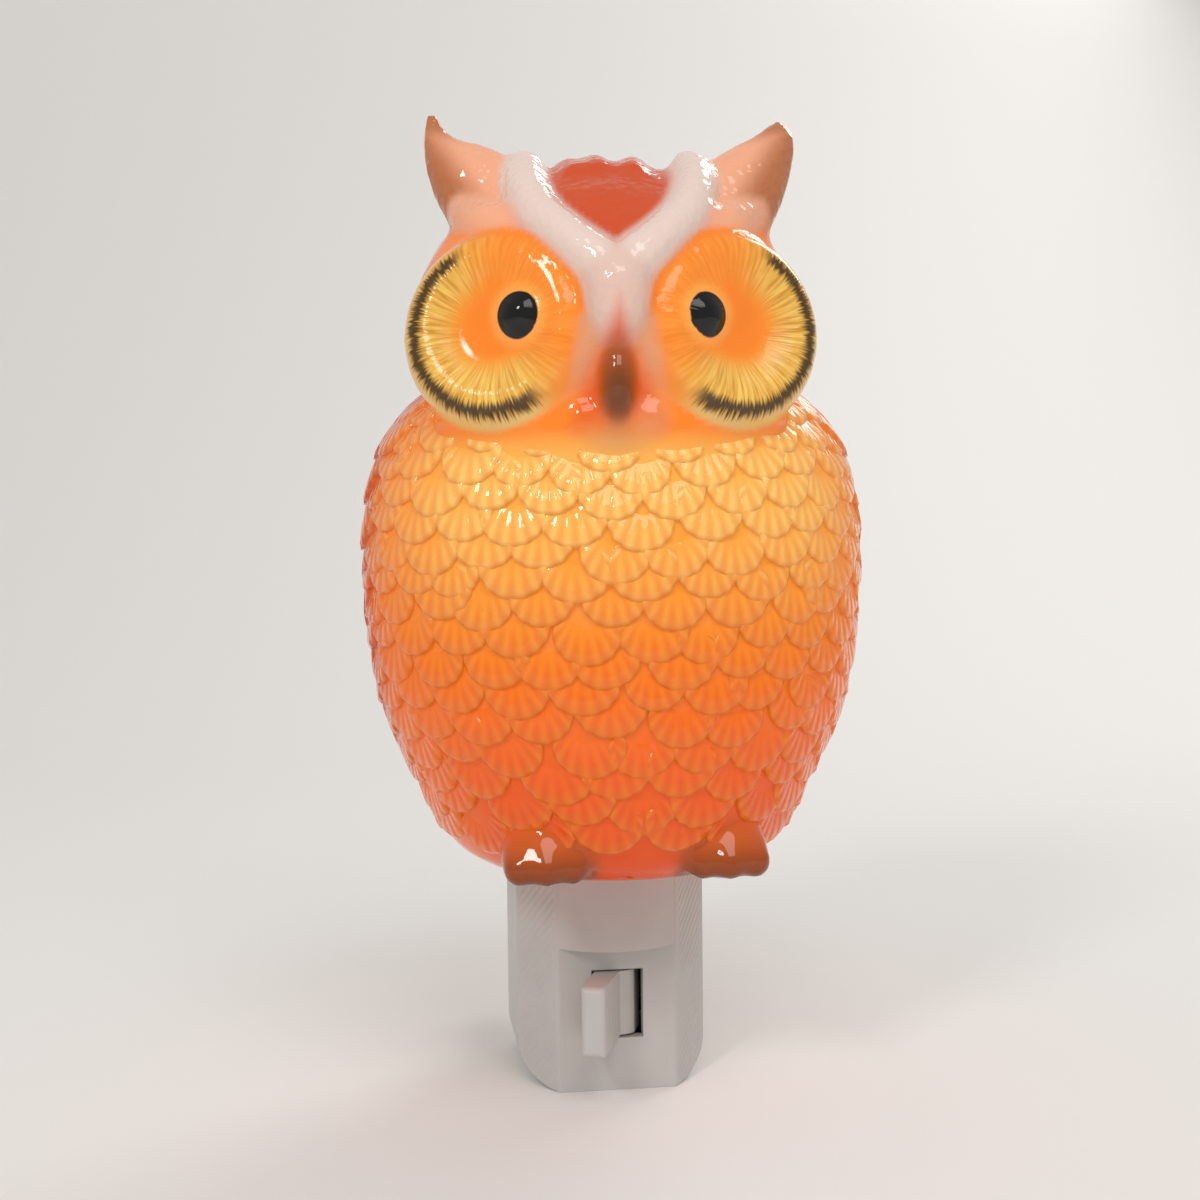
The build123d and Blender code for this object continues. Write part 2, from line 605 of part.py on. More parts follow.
def make_socket():
    """The candle tube that stands on the base, with the screw shell and contact inside it."""
    collar_top_z = top_z + SLEEVE_COLLAR_HEIGHT
    flange_z = ceiling_z - SLEEVE_FLANGE_HEIGHT
    sleeve = turned(
        (SLEEVE_LOWER_BORE, flange_z),
        (SLEEVE_FLANGE_RADIUS, flange_z),
        (SLEEVE_FLANGE_RADIUS, ceiling_z),
        (NECK_RADIUS, ceiling_z),
        (NECK_RADIUS, top_z),
        (COLLAR_RADIUS, top_z),
        (COLLAR_RADIUS, collar_top_z),
        (SLEEVE_TUBE_RADIUS, collar_top_z),
        (SLEEVE_TUBE_RADIUS, sleeve_top_z),
        (SHELL_RADIUS, sleeve_top_z),
        (SHELL_RADIUS, insulator_z),
        (SLEEVE_LOWER_BORE, insulator_z),
    )
    recess_half = CLIP_WIDTH / 2 + HOUSING_CLEARANCE
    floor_x = COLLAR_RADIUS - CLIP_RECESS
    for side in (-1, 1):
        sleeve -= block(
            (side * floor_x, side * (COLLAR_RADIUS + CUT_OVERRUN)),
            (socket_y - recess_half, socket_y + recess_half),
            (top_z + CLIP_MARGIN, collar_top_z + CUT_OVERRUN),
        )

    insulator = rod_z(SHELL_RADIUS, 0, socket_y, insulator_z, shell_z)
    eyelet = rod_z(SHELL_EYELET_RADIUS, -LEAD_OFFSET, socket_y, insulator_z - EYELET_DROP, shell_z)
    rivet = rod_z(RIVET_RADIUS, 0, socket_y, insulator_z - EYELET_DROP, shell_z)
    insulator = insulator - eyelet - rivet
    inner_radius = SHELL_RADIUS - SHELL_WALL
    shell = turned(
        (SHELL_LIP, shell_z),
        (SHELL_RADIUS, shell_z),
        (SHELL_RADIUS, shell_z + SHELL_LENGTH),
        (inner_radius, shell_z + SHELL_LENGTH),
        (inner_radius, shell_z + SHELL_WALL),
        (SHELL_LIP, shell_z + SHELL_WALL),
    )
    shell += eyelet
    contact = rivet + rod_z(CONTACT_BUTTON_RADIUS, 0, socket_y, shell_z, button_z)
    return sleeve, insulator, shell, contact


def make_clip(side):
    """A bowed leaf spring in the collar's recess, which grips the owl's bottom hole."""
    floor_x = COLLAR_RADIUS - CLIP_RECESS
    low_z = top_z + CLIP_MARGIN
    high_z = top_z + SLEEVE_COLLAR_HEIGHT - CLIP_MARGIN
    middle_z = (low_z + high_z) / 2
    outer = ThreePointArc(
        (floor_x + CLIP_THICKNESS, low_z), (floor_x + CLIP_BOW, middle_z), (floor_x + CLIP_THICKNESS, high_z)
    )
    inner = ThreePointArc(
        (floor_x, low_z), (floor_x + CLIP_BOW - CLIP_THICKNESS, middle_z), (floor_x, high_z)
    )
    rim = [outer, Line(outer @ 1, inner @ 1), inner, Line(inner @ 0, outer @ 0)]
    leaf = extrude(Plane.XZ * make_face(rim), amount=CLIP_WIDTH / 2, both=True)
    clip = Pos(0, socket_y, 0) * leaf
    return clip if side > 0 else mirror(clip, about=Plane.YZ)


def glass_form(inset):
    """The bulb's glass as a solid turned form, drawn in by a wall thickness."""
    neck = glass_neck_radius - inset
    base_z = cap_top_z - BULB_NECK_DEPTH - (CUT_OVERRUN if inset else 0)
    swell = [
        (BULB_GLASS_RADIUS * radius_share - inset, cap_top_z + BULB_GLASS_HEIGHT * height_share)
        for radius_share, height_share in zip(GLASS_RADIUS_SHARES, GLASS_HEIGHT_SHARES)
    ]
    apex = (0, cap_top_z + BULB_GLASS_HEIGHT - inset)
    curve = Spline((neck, cap_top_z), *swell, apex, tangents=[(0, 1), (-1, 0)])
    rest = Polyline(apex, (0, base_z), (neck, base_z), (neck, cap_top_z))
    return Pos(0, socket_y, 0) * revolve(Plane.XZ * make_face([curve, *rest.edges()]), Axis.Z)


def make_bulb():
    """The screw-in bulb: glass, cap, tip contact and the filament on its stem."""
    glass = glass_form(0) - glass_form(BULB_GLASS_WALL)
    inner_cap = BULB_CAP_RADIUS - BULB_CAP_WALL
    cap = turned(
        (BULB_CAP_LIP_RADIUS, cap_z),
        (BULB_CAP_RADIUS, cap_z),
        (BULB_CAP_RADIUS, cap_top_z),
        (inner_cap, cap_top_z),
        (inner_cap, cap_z + BULB_CAP_WALL),
        (BULB_CAP_LIP_RADIUS, cap_z + BULB_CAP_WALL),
    )
    taper_z = bulb_z + BULB_TIP_HEIGHT
    insulator = turned((0, taper_z), (BULB_TIP_RADIUS, taper_z), (BULB_INSULATOR_RADIUS, cap_z), (0, cap_z))
    tip = Pos(0, socket_y, taper_z) * Sphere(BULB_TIP_RADIUS)
    tip &= rod_z(BULB_TIP_RADIUS, 0, socket_y, bulb_z, taper_z)

    stem_z = cap_top_z - BULB_NECK_DEPTH
    stem_top_z = stem_z + BULB_STEM_HEIGHT
    flare = glass_neck_radius - BULB_GLASS_WALL
    stem = turned(
        (0, stem_z),
        (flare, stem_z),
        (flare, stem_z + BULB_GLASS_WALL),
        (BULB_STEM_RADIUS, stem_z + BULB_STEM_RADIUS),
        (BULB_STEM_RADIUS, stem_top_z),
        (0, stem_top_z),
    )
    lead_top_z = stem_top_z + BULB_LEAD_HEIGHT
    leads = []
    for side in (-1, 1):
        wire = Line(
            (side * BULB_STEM_RADIUS / 2, socket_y, stem_top_z),
            (side * BULB_LEAD_SPREAD, socket_y, lead_top_z),
        )
        leads.append(sweep(Plane((wire @ 0), z_dir=(0, 0, 1)) * Circle(BULB_LEAD_RADIUS), path=wire))
    filament_end = BULB_LEAD_SPREAD - 2 * (BULB_LEAD_RADIUS + FILAMENT_RADIUS)
    arch = ThreePointArc(
        (-filament_end, socket_y, lead_top_z),
        (0, socket_y, lead_top_z + FILAMENT_RISE),
        (filament_end, socket_y, lead_top_z),
    )
    filament = sweep(Plane(arch @ 0, z_dir=arch % 0) * Circle(FILAMENT_RADIUS), path=arch)
    return glass, cap, insulator, tip, stem, Compound(children=leads), filament


def owl_body(inset):
    """The owl's body, lofted through its level outlines, drawn in by an inset."""
    rows = list(zip(BODY_HEIGHT_SHARES, BODY_WIDTH_SHARES, BODY_FRONT_SHARES, BODY_BACK_SHARES))
    if inset > 0:
        rows = rows[1:]
    outlines = []
    for height_share, width_share, front_share, back_share in rows:
        half = SHADE_WIDTH / 2 * width_share - inset
        front = shade_y - SHADE_DEPTH / 2 * front_share + inset
        back = shade_y + SHADE_DEPTH / 2 * back_share - inset
        place = Pos(0, (front + back) / 2, seat_z + BODY_HEIGHT * height_share)
        outlines.append(place * Ellipse(half, (back - front) / 2))
    return loft(outlines)


def share_at(height_share, shares):
    """A value of the body's outline at a height between two rows of its table, on a smooth curve."""
    heights = BODY_HEIGHT_SHARES
    row = max(index for index in range(len(heights) - 1) if heights[index] <= height_share)
    slopes = []
    for index in (row, row + 1):
        before = max(index - 1, 0)
        after = min(index + 1, len(heights) - 1)
        slopes.append((shares[after] - shares[before]) / (heights[after] - heights[before]))
    step = heights[row + 1] - heights[row]
    way = (height_share - heights[row]) / step
    start = (1 + 2 * way) * shares[row] + way * slopes[0] * step
    end = (3 - 2 * way) * shares[row + 1] - (1 - way) * slopes[1] * step
    return (1 - way) ** 2 * start + way**2 * end


def breast_rim(lift, lap, rise, valley_rise, stagger):
    """A closed rim round the body, scalloped over the breast and sunk into the wall elsewhere."""
    steps = FEATHER_POINTS * feathers_round
    points = []
    for index in range(steps):
        turn = index / steps - 1 / 2
        angle = 2 * pi * turn
        beyond = abs(angle) - radians(BREAST_SPREAD)
        fade = 1 - min(max(beyond / radians(BREAST_BORDER), 0), 1)
        scallop = abs(cos(pi * (turn * feathers_round + stagger)))
        point_lift = lift - lap * scallop * fade
        proud = valley_rise + (rise - valley_rise) * scallop
        out = fade * proud - (1 - fade) * breast_backing
        height_share = point_lift / BODY_HEIGHT
        front = SHADE_DEPTH / 2 * share_at(height_share, BODY_FRONT_SHARES)
        back = SHADE_DEPTH / 2 * share_at(height_share, BODY_BACK_SHARES)
        half = SHADE_WIDTH / 2 * share_at(height_share, BODY_WIDTH_SHARES) + out
        reach = (front - back) / 2 + ((front + back) / 2 + out) * cos(angle)
        points.append(owl_place(half * sin(angle), reach, point_lift))
    return Wire(Spline(*points, periodic=True))


def make_breast():
    """The breast feathers: lapped rows of scallops whose lower rims stand out, lofted as one form."""
    sunk = -breast_backing
    root = FEATHER_ROOT_RISE
    foot_lift = FEATHER_LIFT - FEATHER_LAP - FEATHER_ROW_PITCH / 2
    rims = [breast_rim(foot_lift, 0, sunk, sunk, 0)]
    for row in range(feather_rows):
        lift = FEATHER_LIFT + row * FEATHER_ROW_PITCH
        stagger = row % 2 / 2
        if row:
            rims.append(breast_rim(lift - FEATHER_STEP, FEATHER_LAP, root, root, stagger))
        rims.append(breast_rim(lift, FEATHER_LAP, FEATHER_RISE, root, stagger))
    rims.append(breast_rim(lift + FEATHER_ROW_PITCH, 0, sunk, sunk, 0))
    return Solid.make_loft(rims, ruled=True)


def owl_place(offset_x, reach, lift):
    """A point of the owl, sideways and forward of its axis and above its seat."""
    return (offset_x, shade_y - reach, seat_z + lift)


def face_place(offset_x, rise):
    """A point on the front of the head, sideways of its middle plane and above its middle."""
    across = offset_x / (HEAD_WIDTH / 2)
    up = rise / (HEAD_HEIGHT / 2)
    reach = HEAD_REACH + HEAD_DEPTH / 2 * sqrt(1 - across**2 - up**2)
    return owl_place(offset_x, reach, head_lift + rise)


def make_eye(side):
    """An eye disc with a rolled rim and a dished middle, and the domed pupil set in it."""
    crest = (EYE_RADIUS * EYE_CREST_SHARE, EYE_DISH)
    edge = (EYE_RADIUS, -EYE_EDGE)
    face = Spline((0, 0), crest, edge, tangents=[(1, 0), (0, -1)])
    back = Polyline(edge, (EYE_RADIUS - EYE_EDGE, -EYE_BODY), (0, -EYE_BODY), (0, 0))
    disc = revolve(Plane.XZ * make_face([face, *back.edges()]), Axis.Z)
    turn = radians(side * EYE_TURN)
    pitch = radians(EYE_PITCH)
    plane = Plane(
        owl_place(side * EYE_OFFSET, EYE_REACH, head_lift + EYE_RISE),
        x_dir=(cos(turn), sin(turn), 0),
        z_dir=(sin(turn) * cos(pitch), -cos(turn) * cos(pitch), sin(pitch)),
    )
    pupil = Pos(-side * PUPIL_INWARD, PUPIL_RAISE, -PUPIL_SINK) * Sphere(PUPIL_RADIUS)
    return plane * disc + plane * pupil


def make_ear(side):
    """A tapering ear that leans outwards, lofted through its level outlines."""
    outlines = []
    for out_share, up_share, size_share in zip(EAR_OUT_SHARES, EAR_UP_SHARES, EAR_SIZE_SHARES):
        offset_x = EAR_ROOT_OFFSET + (EAR_TIP_OFFSET - EAR_ROOT_OFFSET) * out_share
        rise = EAR_ROOT_RISE + (EAR_TIP_RISE - EAR_ROOT_RISE) * up_share
        outline = Ellipse(EAR_WIDTH / 2 * size_share, EAR_THICKNESS / 2 * size_share)
        place = owl_place(side * offset_x, EAR_ROOT_REACH, head_lift + rise)
        outlines.append(Pos(*place) * outline)
    return loft(outlines)


def make_brow(side):
    """One arm of the brow, laid on the head from the crown to the bridge of the beak."""
    arm = ThreePointArc(
        face_place(side * BROW_TOP_OFFSET, BROW_TOP_RISE),
        face_place(side * BROW_MID_OFFSET, BROW_MID_RISE),
        face_place(0, BROW_JOIN_RISE),
    )
    ridge = sweep(Plane(arm @ 0, z_dir=arm % 0) * Circle(BROW_RADIUS), path=arm)
    return ridge + Pos(*(arm @ 0)) * Sphere(BROW_RADIUS)


def make_wing(side):
    """A folded wing: a raised panel that follows the body from the shoulder to its tip behind."""
    shoulder = (shade_y - WING_SHOULDER_REACH, seat_z + WING_SHOULDER_LIFT)
    tip = (shade_y + WING_TIP_BACK, seat_z + WING_TIP_LIFT)
    top = (shade_y + WING_TOP_BACK, seat_z + WING_TOP_LIFT)
    front_edge = ThreePointArc(shoulder, (shade_y, seat_z + WING_EDGE_LIFT), tip)
    back_edge = ThreePointArc(tip, (shade_y + WING_BACK, seat_z + WING_BACK_LIFT), top)
    outline = make_face([front_edge, back_edge, Line(top, shoulder)])
    panel = extrude(Plane.YZ * outline, amount=side * SHADE_WIDTH)
    flank = block(
        (side * WING_INNER_OFFSET, side * SHADE_WIDTH),
        (shade_y - SHADE_DEPTH, shade_y + SHADE_DEPTH),
        (seat_z, seat_z + BODY_HEIGHT),
    )
    return owl_body(-WING_RISE) & panel & flank


def make_head():
    """The owl's head with its eyes, ears, brow, beak and chin."""
    head = ellipsoid(owl_place(0, HEAD_REACH, head_lift), HEAD_WIDTH, HEAD_DEPTH, HEAD_HEIGHT)
    for side in (-1, 1):
        head += make_eye(side)
        head += make_ear(side)
        head += make_brow(side)
    head += ellipsoid(face_place(0, BRIDGE_RISE), BRIDGE_WIDTH, BRIDGE_DEPTH, BRIDGE_HEIGHT)
    head += ellipsoid(face_place(0, BEAK_RISE), BEAK_WIDTH, BEAK_DEPTH, BEAK_HEIGHT)
    chin_centre = owl_place(0, CHIN_REACH, head_lift + CHIN_RISE)
    return head + ellipsoid(chin_centre, CHIN_WIDTH, CHIN_DEPTH, CHIN_HEIGHT)


def make_shade():
    """The slip-cast owl, hollow, with a round hole in its seat."""
    owl = owl_body(0) + make_breast()
    for side in (-1, 1):
        owl += make_wing(side)
        for place in (-1, 0, 1):
            toe_x = side * FOOT_OFFSET + place * TOE_PITCH
            owl += ellipsoid(owl_place(toe_x, TOE_REACH, TOE_HEIGHT / 2), TOE_WIDTH, TOE_DEPTH, TOE_HEIGHT)
    both_walls = 2 * SHADE_WALL
    head_centre = owl_place(0, HEAD_REACH, head_lift)
    head_hollow = ellipsoid(
        head_centre, HEAD_WIDTH - both_walls, HEAD_DEPTH - both_walls, HEAD_HEIGHT - both_walls
    )
    neck_turn = Pos(HEAD_OFFSET, shade_y, 0) * Rot(0, 0, HEAD_TURN) * Pos(0, -shade_y, 0)
    owl += neck_turn * make_head()
    owl -= owl_body(SHADE_WALL) + neck_turn * head_hollow
    return owl - rod_z(shade_hole_radius, 0, socket_y, seat_z - CUT_OVERRUN, seat_z + BODY_HEIGHT / 2)


housing_front, housing_rear = make_housing()
plug_rotor, blade_live, blade_neutral, slip_disc, slip_ring = make_plug()
rocker_bracket, rocker_pin, switch_rocker, contact_post = make_contacts()
switch_lever, switch_spring, switch_plunger = make_toggle()
socket_sleeve, socket_insulator, socket_shell, centre_contact = make_socket()
bulb_glass, bulb_cap, bulb_insulator, bulb_tip, bulb_stem, bulb_leads, bulb_filament = make_bulb()
lead_end_z = insulator_z - EYELET_DROP

pieces = {
    "porcelain_shade": make_shade(),
    "shade_clip_left": make_clip(-1),
    "shade_clip_right": make_clip(1),
    "housing_front": housing_front,
    "housing_rear": housing_rear,
    "housing_screws": make_screws(),
    "socket_sleeve": socket_sleeve,
    "socket_insulator": socket_insulator,
    "socket_shell": socket_shell,
    "centre_contact": centre_contact,
    "plug_rotor": plug_rotor,
    "blade_live": blade_live,
    "blade_neutral": blade_neutral,
    "slip_disc": slip_disc,
    "slip_ring": slip_ring,
    "terminal_board": make_board(),
    "wiper_live": make_wiper(0, slot_z, 1),
    "wiper_neutral": make_wiper(-LEAD_OFFSET, LEAD_HEIGHT, -1),
    "rocker_bracket": rocker_bracket,
    "rocker_pin": rocker_pin,
    "switch_rocker": switch_rocker,
    "contact_post": contact_post,
    "neutral_lead": make_lead(-LEAD_OFFSET, board_front_y, lead_end_z),
    "switched_lead": make_lead(0, board_front_y - BRACKET_THICKNESS, lead_end_z),
    "switch_lever": switch_lever,
    "switch_spring": switch_spring,
    "switch_plunger": switch_plunger,
    "bulb_glass": bulb_glass,
    "bulb_cap": bulb_cap,
    "bulb_insulator": bulb_insulator,
    "bulb_tip": bulb_tip,
    "bulb_stem": bulb_stem,
    "bulb_leads": bulb_leads,
    "bulb_filament": bulb_filament,
}

os.makedirs("parts", exist_ok=True)
for name, piece in pieces.items():
    export_step(piece, f"parts/{name}.step")
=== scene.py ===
"""Looks of the plug-in night light: a hollow porcelain owl, lit from inside, on a moulded plug base."""
from math import atan, cos, pi, radians, sin

import bmesh
import bpy
import numpy as np
from mathutils import Matrix, Vector


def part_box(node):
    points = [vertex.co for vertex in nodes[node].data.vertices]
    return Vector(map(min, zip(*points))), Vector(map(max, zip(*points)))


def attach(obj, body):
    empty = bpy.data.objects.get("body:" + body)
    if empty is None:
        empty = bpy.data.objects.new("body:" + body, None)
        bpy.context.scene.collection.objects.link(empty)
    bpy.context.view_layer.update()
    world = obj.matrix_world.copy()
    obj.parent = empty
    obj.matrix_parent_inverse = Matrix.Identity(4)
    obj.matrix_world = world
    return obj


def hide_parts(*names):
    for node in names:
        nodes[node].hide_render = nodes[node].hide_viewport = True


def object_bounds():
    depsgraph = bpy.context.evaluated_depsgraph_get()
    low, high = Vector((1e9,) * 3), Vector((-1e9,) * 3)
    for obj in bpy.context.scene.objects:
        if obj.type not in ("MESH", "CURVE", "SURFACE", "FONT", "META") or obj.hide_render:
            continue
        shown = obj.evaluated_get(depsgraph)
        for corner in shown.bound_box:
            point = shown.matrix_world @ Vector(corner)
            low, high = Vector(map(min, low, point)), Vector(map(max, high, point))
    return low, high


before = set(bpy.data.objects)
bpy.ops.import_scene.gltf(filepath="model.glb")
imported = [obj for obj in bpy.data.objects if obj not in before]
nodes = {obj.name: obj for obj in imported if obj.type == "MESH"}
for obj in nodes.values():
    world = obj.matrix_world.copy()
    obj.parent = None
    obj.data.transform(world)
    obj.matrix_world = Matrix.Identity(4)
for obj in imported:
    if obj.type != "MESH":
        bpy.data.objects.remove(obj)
cad_box = [list(corner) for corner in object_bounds()]

# Camera: where the photographer stood, a little to the left of the base and a little above the
# middle, close enough for the owl's front to look larger than its back.
MM = 0.001
CAMERA_TARGET = Vector((-2.07, -33.0, 59.65)) * MM
CAMERA_DISTANCE = 260 * MM
CAMERA_AZIMUTH = radians(-7.8)
CAMERA_ELEVATION = radians(3.0)
CAMERA_ROLL = radians(-0.6)
FRAME_PIXELS = 1200
FOCAL_PIXELS = 1726

ahead = Vector((
    -sin(CAMERA_AZIMUTH) * cos(CAMERA_ELEVATION),
    cos(CAMERA_AZIMUTH) * cos(CAMERA_ELEVATION),
    -sin(CAMERA_ELEVATION),
))
level = Vector((cos(CAMERA_AZIMUTH), sin(CAMERA_AZIMUTH), 0))
upright = level.cross(ahead)
right = cos(CAMERA_ROLL) * level + sin(CAMERA_ROLL) * upright
above = right.cross(ahead)
lens = bpy.data.cameras.new("camera")
lens.angle = 2 * atan(FRAME_PIXELS / 2 / FOCAL_PIXELS)
lens.clip_start = 1 * MM
camera = bpy.data.objects.new("camera", lens)
camera.matrix_world = Matrix.Translation(CAMERA_TARGET - CAMERA_DISTANCE * ahead) @ Matrix(
    (right, above, -ahead)
).transposed().to_4x4()
bpy.context.collection.objects.link(camera)
bpy.context.scene.camera = camera
bpy.context.scene.view_settings.view_transform = "Standard"

# Stage: a pale paper sweep on which the base stands, under plain soft light. A large lamp hangs in
# front and above, a smaller one to the left draws crisp lights on the glaze, one behind parts the edge.
SWEEP_HALF_WIDTH = 1.6
SWEEP_FRONT = -1.6
SWEEP_BEND = 0.3
SWEEP_BEND_RADIUS = 0.35
SWEEP_RISE = 1.4
SWEEP_COLOUR = "#F1EFEB"
WORLD_COLOUR = "#FFFFFF"
WORLD_STRENGTH = 0.42


def linear(hex_colour):
    """The linear colour, with full alpha, of an sRGB hex value."""
    channels = [int(hex_colour[i:i + 2], 16) / 255 for i in (1, 3, 5)]
    return (*[c / 12.92 if c <= 0.04045 else ((c + 0.055) / 1.055) ** 2.4 for c in channels], 1.0)


def fill(node, inputs):
    """Sets or links a shader node's inputs, where another node stands for its first output."""
    for socket, value in inputs.items():
        if isinstance(value, bpy.types.Node):
            value = value.outputs[0]
        if isinstance(value, bpy.types.NodeSocket):
            node.id_data.links.new(value, node.inputs[socket])
        else:
            node.inputs[socket].default_value = value


def add(material, kind, inputs=None, **settings):
    """Adds a shader node with its settings and inputs."""
    node = material.node_tree.nodes.new("ShaderNode" + kind)
    for name, value in settings.items():
        setattr(node, name, value)
    fill(node, inputs or {})
    return node


def surface(name, colour, roughness, inputs=None):
    """A new material and its shader, with what is the same all over set on the shader's sockets."""
    material = bpy.data.materials.new(name)
    material.use_nodes = True
    shader = material.node_tree.nodes["Principled BSDF"]
    fill(shader, {"Base Color": linear(colour), "Roughness": roughness, **(inputs or {})})
    return material, shader


def piece(name, bm, materials):
    """A new object at the origin from a finished bmesh."""
    mesh = bpy.data.meshes.new(name)
    bm.to_mesh(mesh)
    bm.free()
    for material in materials:
        mesh.materials.append(material)
    made = bpy.data.objects.new(name, mesh)
    bpy.context.collection.objects.link(made)
    return made


def only_edge(parts):
    """The one edge among the parts that an operator gives back."""
    return next(part for part in parts if isinstance(part, bmesh.types.BMEdge))


def pulled(bm, edge, way):
    """The far edge of a sheet that is pulled out of an edge along a way."""
    far = only_edge(bmesh.ops.extrude_edge_only(bm, edges=[edge])["geom"])
    bmesh.ops.translate(bm, verts=far.verts, vec=way)
    return far


paper, _ = surface("matt_paper", SWEEP_COLOUR, 0.9)
floor_z = cad_box[0][2]
sheet = bmesh.new()
corners = [sheet.verts.new((side * SWEEP_HALF_WIDTH, SWEEP_FRONT, floor_z)) for side in (-1, 1)]
bend = pulled(sheet, sheet.edges.new(corners), (0, SWEEP_BEND - SWEEP_FRONT, 0))
turned = bmesh.ops.spin(
    sheet, geom=[bend], cent=(0, SWEEP_BEND, floor_z + SWEEP_BEND_RADIUS), axis=(1, 0, 0), angle=pi / 2,
    steps=24,
)["geom_last"]
pulled(sheet, only_edge(turned), (0, 0, SWEEP_RISE))
sweep = piece("sweep", sheet, [paper])
sweep.data.shade_smooth()

world = bpy.data.worlds.new("room")
world.use_nodes = True
world.node_tree.nodes["Background"].inputs["Color"].default_value = linear(WORLD_COLOUR)
world.node_tree.nodes["Background"].inputs["Strength"].default_value = WORLD_STRENGTH
bpy.context.scene.world = world
LAMPS = {
    "overhead_lamp": ((0.10, -0.75, 0.85), 0.60, 3.4),
    "window_lamp": ((-0.42, -0.62, 0.55), 0.16, 1.5),
    "back_lamp": ((0.45, 0.45, 0.55), 0.35, 1.6),
}
for name, (place, size, power) in LAMPS.items():
    lamp = bpy.data.lights.new(name, "AREA")
    lamp.size = size
    lamp.energy = power
    shining = bpy.data.objects.new(name, lamp)
    shining.location = place
    shining.rotation_euler = (CAMERA_TARGET - Vector(place)).to_track_quat("-Z", "Y").to_euler()
    bpy.context.collection.objects.link(shining)

# Swivel plug: a round rotor of moulded ABS that turns in the base, with two nickel-plated brass
# blades moulded in and brass slip plates on its inner face, which feed the base at any angle.
ABS_COLOUR = "#D0CDCA"
ABS_AGED = "#C3BEB8"
ABS_GRAIN = 0.4 * MM
ABS_CLOUD = 8 * MM
EDGE_WIDTH = 0.4 * MM


def edges(material, width):
    """How near a sharp edge is, from the turn between the rounded and the true normal."""
    rounded = add(material, "Bevel", {"Radius": width}, samples=4)
    facing = add(material, "NewGeometry").outputs["True Normal"]
    turn = add(material, "VectorMath", {0: rounded, 1: facing}, operation="DOT_PRODUCT").outputs["Value"]
    return add(material, "MapRange", {"Value": turn, "From Min": 0.985, "From Max": 0.75})


def dress(material, *names):
    """Gives CAD nodes their finished material."""
    for name in names:
        nodes[name].material_slots[0].material = material


def moulded(name, colour, aged):
    """Plastic from a spark-eroded mould: satin, a little clouded, its edges polished by handling."""
    material, shader = surface(name, colour, 0.4, {"IOR": 1.54})
    where = add(material, "TexCoord").outputs["Object"]
    grain = add(material, "TexNoise", {"Vector": where, "Scale": 1 / ABS_GRAIN, "Detail": 2.0})
    cloud = add(material, "TexNoise", {"Vector": where, "Scale": 1 / ABS_CLOUD, "Detail": 3.0})
    tone = add(material, "Mix", {"Factor": cloud, 6: linear(colour), 7: linear(aged)}, data_type="RGBA")
    worn = edges(material, EDGE_WIDTH)
    satin = add(material, "MapRange", {"Value": grain, "To Min": 0.36, "To Max": 0.50})
    polished = add(material, "Math", {0: worn, 1: -0.12, 2: satin}, operation="MULTIPLY_ADD")
    rounded = add(material, "Bevel", {"Radius": EDGE_WIDTH / 2}, samples=4)
    bump = add(material, "Bump", {"Height": grain, "Distance": 0.012 * MM, "Normal": rounded})
    fill(shader, {"Base Color": tone.outputs[2], "Roughness": polished, "Normal": bump})
    return material, bump


# ABS, moulded: an off-white satin that ages towards ivory in soft clouds.
abs_plastic, _ = moulded("moulded_abs", ABS_COLOUR, ABS_AGED)
dress(abs_plastic, "plug_rotor", "housing_rear", "switch_lever")

# Nickel plate, bright, on blanked brass: drawn scratches along the blades from plugging in, and
# brass that shows where the edges have worn.
SCRATCH_SIZES = (0.18 * MM, 7 * MM, 0.18 * MM)
PLATE_EDGE = 0.3 * MM
plate, shader = surface("nickel_plated_brass", "#CDCAC2", 0.24, {"Metallic": 1.0})
where = add(plate, "TexCoord").outputs["Object"]
drawn = add(plate, "Mapping", {"Vector": where, "Scale": [1 / size for size in SCRATCH_SIZES]})
scratches = add(plate, "TexNoise", {"Vector": drawn, "Scale": 1.0, "Detail": 3.0})
worn = edges(plate, PLATE_EDGE)
tone = add(plate, "Mix", {"Factor": worn, 6: linear("#CDCAC2"), 7: linear("#BE9C52")}, data_type="RGBA")
dull = add(plate, "MapRange", {
    "Value": scratches, "From Min": 0.3, "From Max": 0.7, "To Min": 0.16, "To Max": 0.38,
})
bump = add(plate, "Bump", {"Height": scratches, "Distance": 0.006 * MM})
fill(shader, {"Base Color": tone.outputs[2], "Roughness": dull, "Normal": bump})
dress(plate, "blade_live", "blade_neutral")


def pressed_brass(name, colour, tarnish, patch):
    """Brass from rolled strip: bright where it was pressed, with brown tarnish in patches."""
    material, shader = surface(name, colour, 0.3, {"Metallic": 1.0})
    where = add(material, "TexCoord").outputs["Object"]
    patches = add(material, "TexNoise", {
        "Vector": where, "Scale": 1 / patch, "Detail": 5.0, "Roughness": 0.6,
    })
    stained = add(material, "MapRange", {"Value": patches, "From Min": 0.46, "From Max": 0.72})
    tone = add(material, "Mix", {"Factor": stained, 6: linear(colour), 7: linear(tarnish)}, data_type="RGBA")
    dull = add(material, "MapRange", {
        "Value": patches, "From Min": 0.35, "From Max": 0.7, "To Min": 0.22, "To Max": 0.5,
    })
    bump = add(material, "Bump", {"Height": patches, "Distance": 0.02 * MM})
    fill(shader, {"Base Color": tone.outputs[2], "Roughness": dull, "Normal": bump})
    return material


contact_brass = pressed_brass("pressed_brass", "#CBA24E", "#8E6A30", 2.5 * MM)
dress(contact_brass, "slip_disc", "slip_ring")

# Terminal board: punched from brown phenolic laminate, with two leaf wipers riveted to it, which
# run on the plug's slip plates. Paper fibres show in its cut faces as short streaks.
FIBRE_SIZES = (1.6 * MM, 0.2 * MM, 0.25 * MM)


